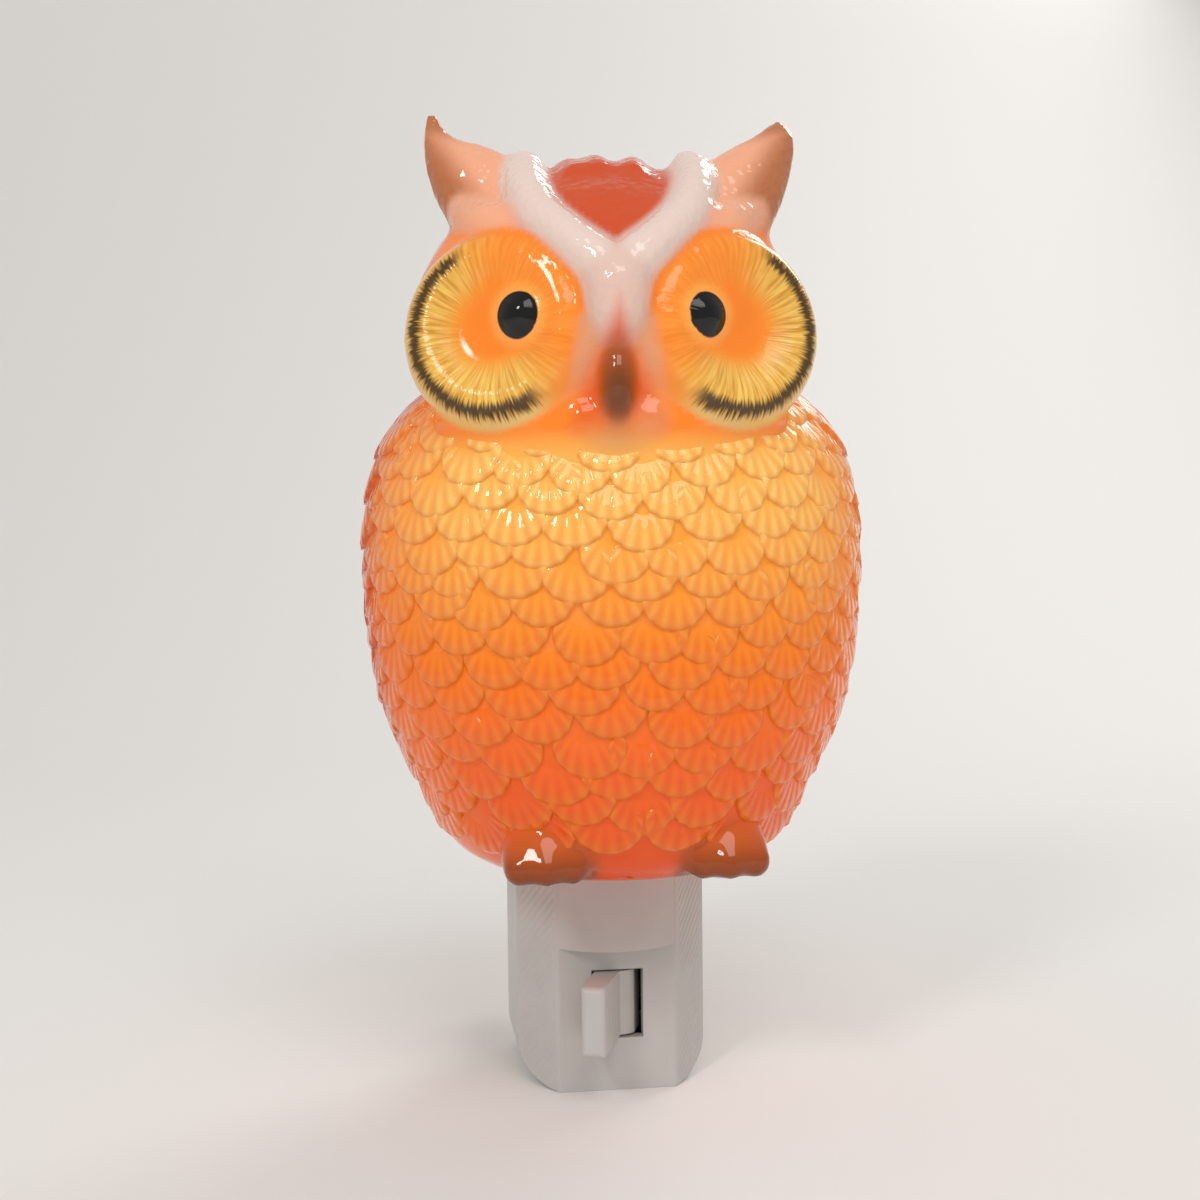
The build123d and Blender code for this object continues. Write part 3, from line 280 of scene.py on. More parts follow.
def marked(made, sizes, detail, tones, dulls, depth):
    """Gives a surface one kind of mark of its making, which its tone, dullness and relief follow."""
    material, shader = made
    where = add(material, "TexCoord").outputs["Object"]
    drawn = add(material, "Mapping", {"Vector": where, "Scale": [1 / size for size in sizes]})
    marks = add(material, "TexNoise", {"Vector": drawn, "Scale": 1.0, "Detail": detail})
    pale, dark = (linear(colour) for colour in tones)
    tone = add(material, "Mix", {"Factor": marks, 6: pale, 7: dark}, data_type="RGBA")
    dull = add(material, "MapRange", {"Value": marks, "To Min": dulls[0], "To Max": dulls[1]})
    bump = add(material, "Bump", {"Height": marks, "Distance": depth})
    fill(shader, {"Base Color": tone.outputs[2], "Roughness": dull, "Normal": bump})
    return material


laminate = marked(
    surface("phenolic_laminate", "#54311D", 0.5), FIBRE_SIZES, 3.0, ("#6A4228", "#3A2013"), (0.38, 0.62),
    0.015 * MM,
)
dress(laminate, "terminal_board", "socket_insulator")
dress(contact_brass, "wiper_live", "wiper_neutral")

# Switch contacts: a brass bracket, a rocker that tilts on a zinc-plated pin in it, and the post on
# which the rocker closes. The zinc is pale and a little clouded by its passivation.
ZINC_CLOUD = 1.2 * MM
dress(contact_brass, "rocker_bracket", "switch_rocker", "contact_post")
zinc = marked(
    surface("zinc_plated_steel", "#BFC3C6", 0.32, {"Metallic": 1.0}), [ZINC_CLOUD] * 3, 4.0,
    ("#C6CACE", "#ABAA9C"), (0.2, 0.46), 0.01 * MM,
)
dress(zinc, "rocker_pin")

# Leads: stranded wire in white PVC, extruded, soldered from the board and the switch to the socket.
# The skin is smooth, with the faint waves that extruding leaves.
SKIN_WAVE = 0.9 * MM
pvc = marked(
    surface("extruded_pvc", "#E0DBCF", 0.4, {"IOR": 1.53}), [SKIN_WAVE] * 3, 2.0, ("#E4E0D6", "#D3CCBC"),
    (0.32, 0.5), 0.02 * MM,
)
dress(pvc, "neutral_lead", "switched_lead")

# Toggle: a paddle of the same ABS, with a steel coil and a white plunger in its hollow tail, which
# snap the rocker over. The spring steel is grey, with lines from its drawing.
DRAWN_SIZES = (3 * MM, 0.15 * MM, 3 * MM)
white_plastic, _ = moulded("moulded_white_plastic", "#E2DFD8", "#D6D1C6")
dress(white_plastic, "switch_plunger", "socket_sleeve")
steel = marked(
    surface("drawn_spring_steel", "#93959A", 0.3, {"Metallic": 1.0}), DRAWN_SIZES, 3.0,
    ("#9EA0A4", "#7C7D80"), (0.2, 0.42), 0.006 * MM,
)
dress(steel, "switch_spring")

# Base housing: two ABS halves, moulded and closed round the plug, the switch and the socket. The
# front's bevelled sides are hatched with fine slanting ribs for the fingers.
HATCH_PITCH = 0.75 * MM
HATCH_SLANT = radians(60)
HATCH_INNER = 9.4 * MM
HATCH_BACK = -26.4 * MM
HATCH_FADE = 0.3 * MM
HATCH_DEPTH = 0.05 * MM
hatched, satin_bump = moulded("hatched_abs", ABS_COLOUR, ABS_AGED)
where = add(hatched, "TexCoord").outputs["Object"]
across = Vector((-sin(HATCH_SLANT), 0, cos(HATCH_SLANT))) / HATCH_PITCH * 2 * pi
phase = add(hatched, "VectorMath", {0: where, 1: across}, operation="DOT_PRODUCT").outputs["Value"]
ribs = add(hatched, "Math", {0: phase}, operation="SINE")
spot = add(hatched, "SeparateXYZ", {0: where})
sideways = add(hatched, "Math", {0: spot.outputs[0]}, operation="ABSOLUTE")
beside = add(hatched, "MapRange", {
    "Value": sideways, "From Min": HATCH_INNER, "From Max": HATCH_INNER + HATCH_FADE,
})
in_front = add(hatched, "MapRange", {
    "Value": spot.outputs[1], "From Min": HATCH_BACK, "From Max": HATCH_BACK - HATCH_FADE,
})
panel = add(hatched, "Math", {0: beside, 1: in_front}, operation="MULTIPLY")
height = add(hatched, "Math", {0: ribs, 1: panel}, operation="MULTIPLY")
hatch = add(hatched, "Bump", {"Height": height, "Distance": HATCH_DEPTH, "Normal": satin_bump})
fill(hatched.node_tree.nodes["Principled BSDF"], {"Normal": hatch})
dress(hatched, "housing_front")

# Screws: two zinc-plated steel pan heads, cold-formed with a cross recess. They are driven from
# behind into the front half and close the base.
SCREW_RADIUS = 1.0 * MM
SCREW_POINT_RADIUS = 0.5 * MM
SCREW_HEAD_RADIUS = 1.9 * MM
SCREW_HEAD_HEIGHT = 1.4 * MM
CROSS_LENGTH = 2.2 * MM
CROSS_WIDTH = 0.5 * MM
CROSS_DEPTH = 0.8 * MM


def shaped(form):
    """The mesh of an object as its modifiers leave it."""
    return bpy.data.meshes.new_from_object(form.evaluated_get(bpy.context.evaluated_depsgraph_get()))


def carved(bm, cutters):
    """A form with others cut out of it, as a new bmesh."""
    whole = piece("whole", bm, [])
    tools = [piece("cutter", cutter, []) for cutter in cutters]
    for tool in tools:
        cut = whole.modifiers.new("cut", "BOOLEAN")
        cut.operation = "DIFFERENCE"
        cut.solver = "MANIFOLD"
        cut.object = tool
    left = bmesh.new()
    left.from_mesh(shaped(whole))
    for spent in (whole, *tools):
        bpy.data.objects.remove(spent)
    return left


low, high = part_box("housing_screws")
screws = bmesh.new()
for x in (low.x + SCREW_HEAD_RADIUS, high.x - SCREW_HEAD_RADIUS):
    place = Matrix.Translation((x, high.y, (low.z + high.z) / 2)) @ Matrix.Rotation(pi / 2, 4, "X")
    screw = bmesh.new()
    bmesh.ops.create_cone(
        screw, cap_ends=True, segments=40, radius1=SCREW_HEAD_RADIUS, radius2=SCREW_HEAD_RADIUS,
        depth=SCREW_HEAD_HEIGHT, matrix=Matrix.Translation((0, 0, SCREW_HEAD_HEIGHT / 2)),
    )
    rim = [edge for edge in screw.edges if all(vert.co.z < SCREW_HEAD_HEIGHT / 2 for vert in edge.verts)]
    bmesh.ops.bevel(
        screw, geom=rim, offset=SCREW_HEAD_HEIGHT / 2, segments=5, profile=0.5, affect="EDGES", material=-1
    )
    arms = []
    for size in ((CROSS_LENGTH, CROSS_WIDTH), (CROSS_WIDTH, CROSS_LENGTH)):
        arm = bmesh.new()
        bmesh.ops.create_cube(arm, size=1, matrix=Matrix.Diagonal((*size, 2 * CROSS_DEPTH, 1)))
        arms.append(arm)
    head = carved(screw, arms)
    shank = high.y - low.y - SCREW_HEAD_HEIGHT
    bmesh.ops.create_cone(
        head, cap_ends=True, segments=24, radius1=SCREW_RADIUS, radius2=SCREW_POINT_RADIUS, depth=shank,
        matrix=Matrix.Translation((0, 0, SCREW_HEAD_HEIGHT + shank / 2)),
    )
    bmesh.ops.transform(head, matrix=place, verts=head.verts)
    one = bpy.data.meshes.new("screw")
    head.to_mesh(one)
    head.free()
    screws.from_mesh(one)
screw_pair = piece("cross_head_screws", screws, [zinc])
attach(screw_pair, "base")
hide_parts("housing_screws")

# Lamp socket: a candle tube of white plastic on the base's collar, with a rolled brass screw shell
# riveted to a laminate disc in it, and a sprung centre contact below the bulb's tip.
SCREW_PITCH = 2.54 * MM
THREAD_DEPTH = 0.25 * MM
SHELL_WALL = 0.4 * MM
SHELL_LIP = 3.0 * MM
SHELL_DEPTH = 15 * MM
SHELL_ROWS = 44
SHELL_THREAD_START = (0.6 * MM, 1.6 * MM)
SHELL_THREAD_END = (2.9 * MM, 3.7 * MM)
EYELET_PLACE = (-4.2 * MM, 0.8 * MM)
shell_brass = pressed_brass("rolled_brass", "#D6B25E", "#9A7434", 4 * MM)
dress(contact_brass, "centre_contact")


def ramp(value, start, end):
    """A soft step from 0 at start to 1 at end."""
    share = np.clip((value - start) / (end - start), 0, 1)
    return share * share * (3 - 2 * share)


def turned_tube(points, rows):
    """A tube turned from a closed outline of radii and heights, its long walls cut into rows."""
    tube = bmesh.new()
    outline = [tube.verts.new((radius, 0, height)) for radius, height in points]
    ring = [tube.edges.new(pair) for pair in zip(outline, outline[1:] + outline[:1])]
    walls = [edge for edge in ring if edge.calc_length() > SCREW_PITCH * 2]
    bmesh.ops.subdivide_edges(tube, edges=walls, cuts=rows)
    bmesh.ops.spin(
        tube, geom=tube.verts[:] + tube.edges[:], cent=(0, 0, 0), axis=(0, 0, 1), angle=2 * pi, steps=72,
        use_merge=True,
    )
    bmesh.ops.remove_doubles(tube, verts=tube.verts, dist=0.001 * MM)
    bmesh.ops.recalc_face_normals(tube, faces=tube.faces)
    return tube


def crest(vert):
    """Where a point lies between the root, 0, and the crest, 1, of a right-hand thread."""
    turn = np.arctan2(vert.co.y, vert.co.x)
    return (1 + cos(2 * pi * vert.co.z / SCREW_PITCH - turn)) / 2


def drawn_in(vert, depth):
    """Moves a point towards the thread's axis."""
    radius = vert.co.xy.length
    vert.co.xy *= (radius - depth) / radius


low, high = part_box("socket_shell")
axis_y = (low.y + high.y) / 2
outer = high.x
inner = outer - SHELL_WALL
floor = high.z - SHELL_DEPTH
tube = turned_tube((
    (SHELL_LIP, floor), (outer, floor), (outer, high.z), (inner, high.z), (inner, floor + SHELL_WALL),
    (SHELL_LIP, floor + SHELL_WALL),
), SHELL_ROWS)
for vert in tube.verts:
    if vert.co.xy.length > inner - SHELL_WALL:
        rolled = ramp(vert.co.z - floor, *SHELL_THREAD_START) * ramp(high.z - vert.co.z, *SHELL_THREAD_END)
        drawn_in(vert, 2 * THREAD_DEPTH * rolled * (1 - crest(vert)))
bmesh.ops.create_cone(
    tube, cap_ends=True, segments=24, radius1=EYELET_PLACE[1], radius2=EYELET_PLACE[1], depth=floor - low.z,
    matrix=Matrix.Translation((EYELET_PLACE[0], 0, (floor + low.z) / 2)),
)
bmesh.ops.translate(tube, vec=(0, axis_y, 0), verts=tube.verts)
screw_shell = piece("screw_shell", tube, [shell_brass])
screw_shell.data.shade_smooth()
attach(screw_shell, "base")
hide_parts("socket_shell")

# Bulb: a small clear night-light bulb. Its blown glass is held in a rolled brass screw cap, which
# ends in black glass and a drop of solder, and its filament glows on two wires over a glass stem.
CAP_WALL = 0.35 * MM
CAP_LIP = 4.1 * MM
CAP_ROWS = 40
CAP_THREAD_START = (0.3 * MM, 1.4 * MM)
CAP_NECK = (3.9 * MM, 4.4 * MM)
low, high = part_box("bulb_cap")
outer = high.x
inner = outer - CAP_WALL
tube = turned_tube((
    (CAP_LIP, low.z), (outer, low.z), (outer, high.z), (inner, high.z), (inner, low.z + CAP_WALL),
    (CAP_LIP, low.z + CAP_WALL),
), CAP_ROWS)
for vert in tube.verts:
    if vert.co.xy.length > inner - CAP_WALL:
        below_neck = ramp(high.z - vert.co.z, *CAP_NECK)
        started = ramp(vert.co.z - low.z, *CAP_THREAD_START)
        drawn_in(vert, 2 * THREAD_DEPTH * below_neck * (1 - started * crest(vert)))
bmesh.ops.translate(tube, vec=(0, axis_y, 0), verts=tube.verts)
screw_cap = piece("screw_cap", tube, [shell_brass])
screw_cap.data.shade_smooth()
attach(screw_cap, "bulb")
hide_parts("bulb_cap")

# Soda-lime glass, blown: clear, with slow waves in its wall.
glass, shader = surface("blown_clear_glass", "#FFFFFF", 0.01, {"IOR": 1.5, "Transmission Weight": 1.0})
where = add(glass, "TexCoord").outputs["Object"]
waves = add(glass, "TexNoise", {"Vector": where, "Scale": 1 / (6 * MM), "Detail": 1.0})
bump = add(glass, "Bump", {"Height": waves, "Distance": 0.06 * MM})
dusty = add(glass, "MapRange", {"Value": waves, "To Min": 0.0, "To Max": 0.05})
fill(shader, {"Roughness": dusty, "Normal": bump})
dress(glass, "bulb_glass", "bulb_stem")

# Black glass, pressed hot into the cap: glossy, with small pits.
black_glass, shader = surface("pressed_black_glass", "#0F0F12", 0.1, {"IOR": 1.52})
where = add(black_glass, "TexCoord").outputs["Object"]
pits = add(black_glass, "TexNoise", {"Vector": where, "Scale": 1 / (0.8 * MM), "Detail": 2.0})
dull = add(black_glass, "MapRange", {"Value": pits, "To Min": 0.04, "To Max": 0.22})
bump = add(black_glass, "Bump", {"Height": pits, "Distance": 0.03 * MM})
fill(shader, {"Roughness": dull, "Normal": bump})
dress(black_glass, "bulb_insulator")

# Soft solder, set as a drop: dull silver with a frosted skin.
solder, shader = surface("soft_solder", "#B2B2AF", 0.38, {"Metallic": 1.0})
where = add(solder, "TexCoord").outputs["Object"]
frost = add(solder, "TexNoise", {"Vector": where, "Scale": 1 / (0.5 * MM), "Detail": 3.0})
dull = add(solder, "MapRange", {"Value": frost, "To Min": 0.22, "To Max": 0.55})
bump = add(solder, "Bump", {"Height": frost, "Distance": 0.03 * MM})
fill(shader, {"Roughness": dull, "Normal": bump})
dress(solder, "bulb_tip")

# Nickel-iron wire, drawn, and a tungsten coil that glows at a night light's warm colour. The coil's
# real turns are too fine to show, so they are drawn four times as coarse.
COIL_PITCH = 0.4 * MM
wire, shader = surface("drawn_nickel_wire", "#8E8D88", 0.35, {"Metallic": 1.0})
where = add(wire, "TexCoord").outputs["Object"]
drawn = add(wire, "TexNoise", {"Vector": where, "Scale": 1 / (0.4 * MM), "Detail": 2.0})
dull = add(wire, "MapRange", {"Value": drawn, "To Min": 0.25, "To Max": 0.5})
fill(shader, {"Roughness": dull})
dress(wire, "bulb_leads")
tungsten, shader = surface(
    "glowing_tungsten", "#4A4540", 0.5, {"Metallic": 1.0, "Emission Color": linear("#FFB45A")}
)
where = add(tungsten, "TexCoord").outputs["Object"]
coils = add(tungsten, "TexWave", {"Vector": where, "Scale": 1 / COIL_PITCH / 3}, bands_direction="X")
glow = add(tungsten, "MapRange", {"Value": coils, "To Min": 3.0, "To Max": 9.0})
bump = add(tungsten, "Bump", {"Height": coils, "Distance": 0.1 * MM})
fill(shader, {"Emission Strength": glow, "Normal": bump})
dress(tungsten, "bulb_filament")

# Shade clips: two bowed leaves of the same spring steel, bent from strip. They sit in the collar's
# recesses and grip the owl's bottom hole from inside.
dress(steel, "shade_clip_left", "shade_clip_right")

# Porcelain owl: slip-cast in a plaster mould with a 3 mm wall, airbrushed and hand-painted, then
# glazed and fired. It stands on the base's collar, gripped by two clips in its bottom hole.
# Places are millimetres from the owl's axis at its seat: sideways, forward and up.
OWL_AXIS_Y = -33.0
OWL_WALL = 3.0
HOLE_RADIUS = 13.0
HOLE_BACK = 9.0
SKIN_VOXEL = 0.8
SKIN_SMOOTHING = 5
HOLLOW_VOXEL = 2.0
HOLLOW_SMOOTHING = 2
BODY_LIFTS = (0, 2.9, 8, 14.6, 26.3, 44.5, 57.7, 65.7, 73)
BODY_HALF_WIDTHS = (20, 24.2, 27.3, 30.3, 34.9, 36.7, 35.4, 31.6, 25)
BODY_FRONTS = (18, 21.9, 24.6, 26.7, 29, 30, 28.7, 25.2, 18.6)
BODY_BACKS = (25.8, 27.6, 28.5, 29.1, 29.7, 30, 29.6, 27.9, 24)
FOOT_PLACE = (12.9, 18.2, 4.6)
FOOT_SIZES = (12.6, 10.8, 9.4)
TOES = ((-3.7, 21.3, 3.0, 2.5), (0, 22.3, 3.2, 2.6), (3.7, 21.3, 3.0, 2.5))
TOE_ROOT = (0, -4, 1.2, 0)
HEAD_SHIFT = -1.1
HEAD_TURN = radians(-4.5)
HEAD_CENTRE = (0, 4, 79)
HEAD_SIZES = (57, 52, 48)
EYE_CENTRE = (16.6, 24.4, 77.3)
EYE_TURN = radians(23)
EYE_PITCH = radians(8)
EYE_PROFILE = (
    (0, 0.2), (3.2, -0.1), (5.2, 0.1), (9.4, 1.7), (12.0, 1.2), (13.5, -0.8), (14.0, -3.6), (11.6, -9),
)
PUPILS = ((-4.4, 1.5, -0.8), (-5.4, 1.4, -0.8))
PUPIL_RADIUS = 3.6
BROW_ARM = (
    (11.6, 11.5, 101.2, 2.7), (11.8, 17.6, 97.4, 2.9), (9.8, 23.0, 92.8, 2.8),
    (6.2, 26.8, 89.0, 2.9), (2.6, 28.8, 85.8, 3.2), (0, 29.4, 82.5, 3.4),
)
BRIDGE = ((0, 29.4, 82.5, 4.6), (0, 29.6, 79.5, 4.2), (0, 28.6, 76.8, 3.2))
CHEEK = ((3.4, 28.4, 77.0, 2.4), (5.2, 27.8, 72.5, 2.2), (6.0, 26.8, 69.0, 2.0), (6.6, 25.6, 66.0, 2.2))
HOOD = ((0, 27.6, 77.4, 2.6), (0, 27.0, 73.2, 3.2), (0, 26.0, 69.0, 4.0), (0, 24.9, 65.2, 4.4))
BEAK = (
    (0, 28.7, 75.0, 1.3), (0, 29.5, 72.2, 1.9), (0, 29.8, 69.2, 2.2), (0, 29.0, 66.4, 1.8),
    (0, 27.8, 64.4, 1.1),
)
MUZZLE = (4.5, 27.2, 64.8, 2.7)
JOWL = ((17, 15.5, 65.5, 8.0), (9, 21.5, 64.0, 6.8), (0, 23.5, 62.5, 6.0))
LEDGE = ((9.6, 23.4, 91.6, 2.3), (13.8, 20.4, 91.6, 2.5), (17.4, 16.6, 92.8, 2.7), (19.8, 13.0, 94.4, 2.7))
EAR_LEFT = (
    (13.4, 12, 93.5, 7.5), (16.3, 10.5, 96.4, 6.9), (19.2, 9.3, 99.3, 5.8), (22.3, 8.3, 102.4, 3.7),
    (24.1, 7.5, 105.4, 2.3), (24.7, 7, 107.9, 1.5), (24.8, 6.8, 109.3, 0.95),
)
EAR_RIGHT = (
    (15.6, 12, 93.5, 7.4), (17.9, 10.5, 96.3, 6.8), (20.2, 9.3, 99, 5.9), (22.6, 8.3, 101.9, 4.5),
    (24.3, 7.5, 104.3, 3.4), (25, 7, 105.9, 2.7), (25.2, 6.8, 106.7, 2.2),
)
EAR_FLATNESS = 0.72
CROWN_WAVES = (-6.2, -2.0, 4.4)
CROWN_WAVE_RADIUS = 2.4
CROWN_STATIONS = (0, 8, 15)


def through(points, steps):
    """Rows of numbers along a smooth line through a few given rows."""
    given = np.array(points, float)
    ends = np.vstack([2 * given[0] - given[1], given, 2 * given[-1] - given[-2]])
    line = []
    for before, start, end, after in zip(ends, ends[1:], ends[2:], ends[3:]):
        bend = 2 * before - 5 * start + 4 * end - after
        twist = 3 * start - before - 3 * end + after
        for s in np.linspace(0, 1, steps, endpoint=False):
            line.append(start + ((end - before) * s + bend * s**2 + twist * s**3) / 2)
    return np.array([*line, given[-1]])


def swell(bm, place, sizes, turn=Matrix.Identity(4)):
    """A rounded swelling at an owl place, with its full sizes sideways, forward and up."""
    centre = Matrix.Translation((place[0], -place[1], place[2]))
    shape = Matrix.Diagonal((*[size / 2 for size in sizes], 1))
    bmesh.ops.create_icosphere(bm, subdivisions=3, radius=1, matrix=turn @ centre @ shape)


def ridge(bm, stations, side=1, flatness=1.0, turn=Matrix.Identity(4)):
    """A rounded ridge along stations, each a place with a radius."""
    for x, forward, lift, radius in through(stations, 6):
        swell(bm, (side * x, forward, lift), (2 * radius, 2 * radius * flatness, 2 * radius), turn)


def body_form(bm, inset):
    """The owl's body as stacked level outlines, drawn in by an inset."""
    rows = list(zip(BODY_LIFTS, BODY_HALF_WIDTHS, BODY_FRONTS, BODY_BACKS))
    loops = []
    for lift, half, front, back in through(rows[1:] if inset else rows, 5):
        place = Matrix.Translation((0, (back - front) / 2, lift))
        shape = Matrix.Diagonal((half - inset, (front + back) / 2 - inset, 1, 1))
        ring = bmesh.ops.create_circle(bm, segments=96, radius=1, matrix=place @ shape)["verts"]
        loops.append(list({edge for vert in ring for edge in vert.link_edges}))
    for lower, upper in zip(loops, loops[1:]):
        bmesh.ops.bridge_loops(bm, edges=lower + upper)
    for end in (loops[0], loops[-1]):
        bmesh.ops.edgeloop_fill(bm, edges=end)


def melted(bm, voxel, rounds):
    """Overlapping forms melted into one smooth skin."""
    bmesh.ops.recalc_face_normals(bm, faces=bm.faces)
    rough = piece("rough", bm, [])
    melt = rough.modifiers.new("melt", "REMESH")
    melt.mode = "VOXEL"
    melt.voxel_size = voxel
    smooth = bmesh.new()
    smooth.from_mesh(shaped(rough))
    bpy.data.objects.remove(rough)
    for _ in range(rounds):
        bmesh.ops.smooth_vert(
            smooth, verts=smooth.verts, factor=0.5, use_axis_x=True, use_axis_y=True, use_axis_z=True
        )
    return smooth


def eye_frame(side):
    """The place of an eye disc on the head: its face looks along its own Z, with Y up."""
    x, forward, lift = EYE_CENTRE
    place = Matrix.Translation((side * x, -forward, lift)) @ Matrix.Rotation(side * EYE_TURN, 4, "Z")
    return place @ Matrix.Rotation(pi / 2 - EYE_PITCH, 4, "X")


neck = Matrix.Translation((HEAD_SHIFT, 0, 0)) @ Matrix.Rotation(HEAD_TURN, 4, "Z")
form = bmesh.new()
for side in (-1, 1):
    disc = bmesh.new()
    rim = [disc.verts.new((radius, 0, height)) for radius, height in through(EYE_PROFILE, 6)]
    line = [disc.edges.new(pair) for pair in zip(rim, rim[1:])]
    bmesh.ops.spin(
        disc, geom=rim + line, cent=(0, 0, 0), axis=(0, 0, 1), angle=2 * pi, steps=72, use_merge=True
    )
    bmesh.ops.remove_doubles(disc, verts=disc.verts, dist=0.001)
    bmesh.ops.edgeloop_fill(disc, edges=[edge for edge in disc.edges if edge.is_boundary])
    x, y, depth = PUPILS[side > 0]
    pupil = Matrix.Translation((side * x, y, depth))
    bmesh.ops.create_icosphere(disc, subdivisions=4, radius=PUPIL_RADIUS, matrix=pupil)
    bmesh.ops.transform(disc, matrix=neck @ eye_frame(side), verts=disc.verts)
    spun = bpy.data.meshes.new("eye_disc")
    disc.to_mesh(spun)
    disc.free()
    form.from_mesh(spun)
    for stations in (BROW_ARM, LEDGE, CHEEK, JOWL):
        ridge(form, stations, side, turn=neck)
    ridge(form, EAR_RIGHT if side > 0 else EAR_LEFT, side, EAR_FLATNESS, neck)
    swell(form, (side * MUZZLE[0], *MUZZLE[1:3]), [2 * MUZZLE[3]] * 3, neck)
    swell(form, (side * FOOT_PLACE[0], *FOOT_PLACE[1:]), FOOT_SIZES)
    foot = Matrix.Translation((side * FOOT_PLACE[0], 0, 0))
    for toe in TOES:
        ridge(form, (toe, np.add(toe, TOE_ROOT)), turn=foot)
body_form(form, 0)
swell(form, HEAD_CENTRE, HEAD_SIZES, neck)
for stations in (BRIDGE, HOOD, BEAK):
    ridge(form, stations, turn=neck)
for x in CROWN_WAVES:
    wave = []
    for forward in CROWN_STATIONS:
        rise = 1 - (2 * x / HEAD_SIZES[0]) ** 2 - (2 * (forward - HEAD_CENTRE[1]) / HEAD_SIZES[1]) ** 2
        lift = HEAD_CENTRE[2] + HEAD_SIZES[2] / 2 * rise**0.5 - CROWN_WAVE_RADIUS / 2
        wave.append((x * (1 - forward / HEAD_SIZES[0]), forward, lift, CROWN_WAVE_RADIUS))
    ridge(form, wave, turn=neck)
skin = melted(form, SKIN_VOXEL, SKIN_SMOOTHING)

# The inside is cut out as the slip is poured off, then the bottom hole is cut.
hollow = bmesh.new()
body_form(hollow, OWL_WALL)
swell(hollow, HEAD_CENTRE, [size - 2 * OWL_WALL for size in HEAD_SIZES], neck)
bore = bmesh.new()
bmesh.ops.create_cone(
    bore, cap_ends=True, segments=96, radius1=HOLE_RADIUS, radius2=HOLE_RADIUS, depth=8 * OWL_WALL,
    matrix=Matrix.Translation((0, HOLE_BACK, 0)),
)
shell = carved(skin, [melted(hollow, HOLLOW_VOXEL, HOLLOW_SMOOTHING), bore])

# Feathers: each is a fan with a rounded lower rim, overlapping the row below. They lie in staggered
# rows on the breast, flanks, wings, back and nape, the breast's set by hand, so no two are quite alike,
# and long ones fold along the wings and tail.
FEATHER_REACHES = (0.12, 0.45, 0.74, 0.92, 1.0, 0.99)
FEATHER_RISES = (-0.7, 0.1, 0.60, 0.86, 0.58, -0.5)
FEATHER_ROUNDNESS = 0.6
FEATHER_ROWS = len(FEATHER_REACHES) - 1
FEATHER_COLUMNS = 12
FEATHER_TUCK = 0.35
TURN_STEP = 0.01
LIFT_STEP = 0.3
BREAST_ROWS = 16
BREAST_COLUMNS = 10
BREAST_TOP = 64.6
BREAST_ROW_PITCH = 4.0
BREAST_PITCH = 8.9
BREAST_LENGTH = 8.6
BREAST_FAN = radians(72)
BREAST_EDGE = 1.75
BREAST_SAG = 2.8
HAND_ALONG = 0.6
HAND_LIFT = 0.5
HAND_LENGTH = 0.04
HAND_FAN = 0.03
HAND_RISE = 0.08
HAND_LEAN = 0.09
SAG_HALF_WIDTH = 14
SAG_ROWS = 7
FLANK_LIFTS = (26, 14)
FLANK_REACH = 1.2
WING_EDGE = radians(168)
COVERT = {"length": 12, "spread": radians(38), "rise": 0.6, "base": 0.6}
COVERT_LEAN = -0.12
COVERT_ROWS = 7
COVERT_COLUMNS = 7
COVERT_TOP = 60
COVERT_PITCH = 6.5
COVERT_START = radians(80)
COVERT_SLANT = radians(0.85)
COVERT_STEP = radians(15)
FLIGHT = {"length": 24, "spread": radians(14), "rise": 1.1, "base": 1.0}
FLIGHT_LEAN = -0.14
FLIGHT_START = radians(166)
FLIGHT_STEP = radians(9)
FLIGHT_COUNT = 6
FLIGHT_LOWEST = 5
FLIGHT_PITCH = 2.6
TAIL = {"length": 20, "spread": radians(16), "rise": 0.9, "base": 0.4}
TAIL_STEP = radians(8)
TAIL_LOWEST = 1.5
TAIL_ARCH = 0.8
TAIL_LEAN = 0.02
BACK = {"length": 8.5, "spread": radians(52), "rise": 0.8}
BACK_ROWS = 8
BACK_TOP = 60
BACK_PITCH = 5.2
BACK_STEP = 0.26
NAPE = {"length": 7.5, "spread": radians(60), "rise": 0.7}
NAPE_ROWS = 8
NAPE_COLUMNS = 6
NAPE_TOP = 94
NAPE_PITCH = 3.9
NAPE_STEP = radians(17)
NAPE_EDGE = radians(74)
shell.loops.layers.uv.new("feather")
body_line = through(list(zip(BODY_LIFTS, BODY_HALF_WIDTHS, BODY_FRONTS, BODY_BACKS)), 8)
hand = np.random.default_rng(7)


def on_body(angle, lift):
    """Points of the body's surface at angles from its front and at lifts."""
    half, front, back = (np.interp(lift, body_line[:, 0], body_line[:, k]) for k in (1, 2, 3))
    y = (back - front) / 2 - (front + back) / 2 * np.cos(angle)
    return np.stack([half * np.sin(angle), y, lift], axis=-1)


def on_head(angle, lift):
    """Points of the head's surface, as on_body gives the body's."""
    level = np.sqrt(1 - np.clip((lift - HEAD_CENTRE[2]) / HEAD_SIZES[2] * 2, -0.98, 0.98) ** 2) / 2
    x = HEAD_SIZES[0] * level * np.sin(angle)
    y = -HEAD_CENTRE[1] - HEAD_SIZES[1] * level * np.cos(angle)
    return np.stack([x, y, lift], axis=-1) @ np.array(neck.to_3x3()).T + np.array(neck.translation)


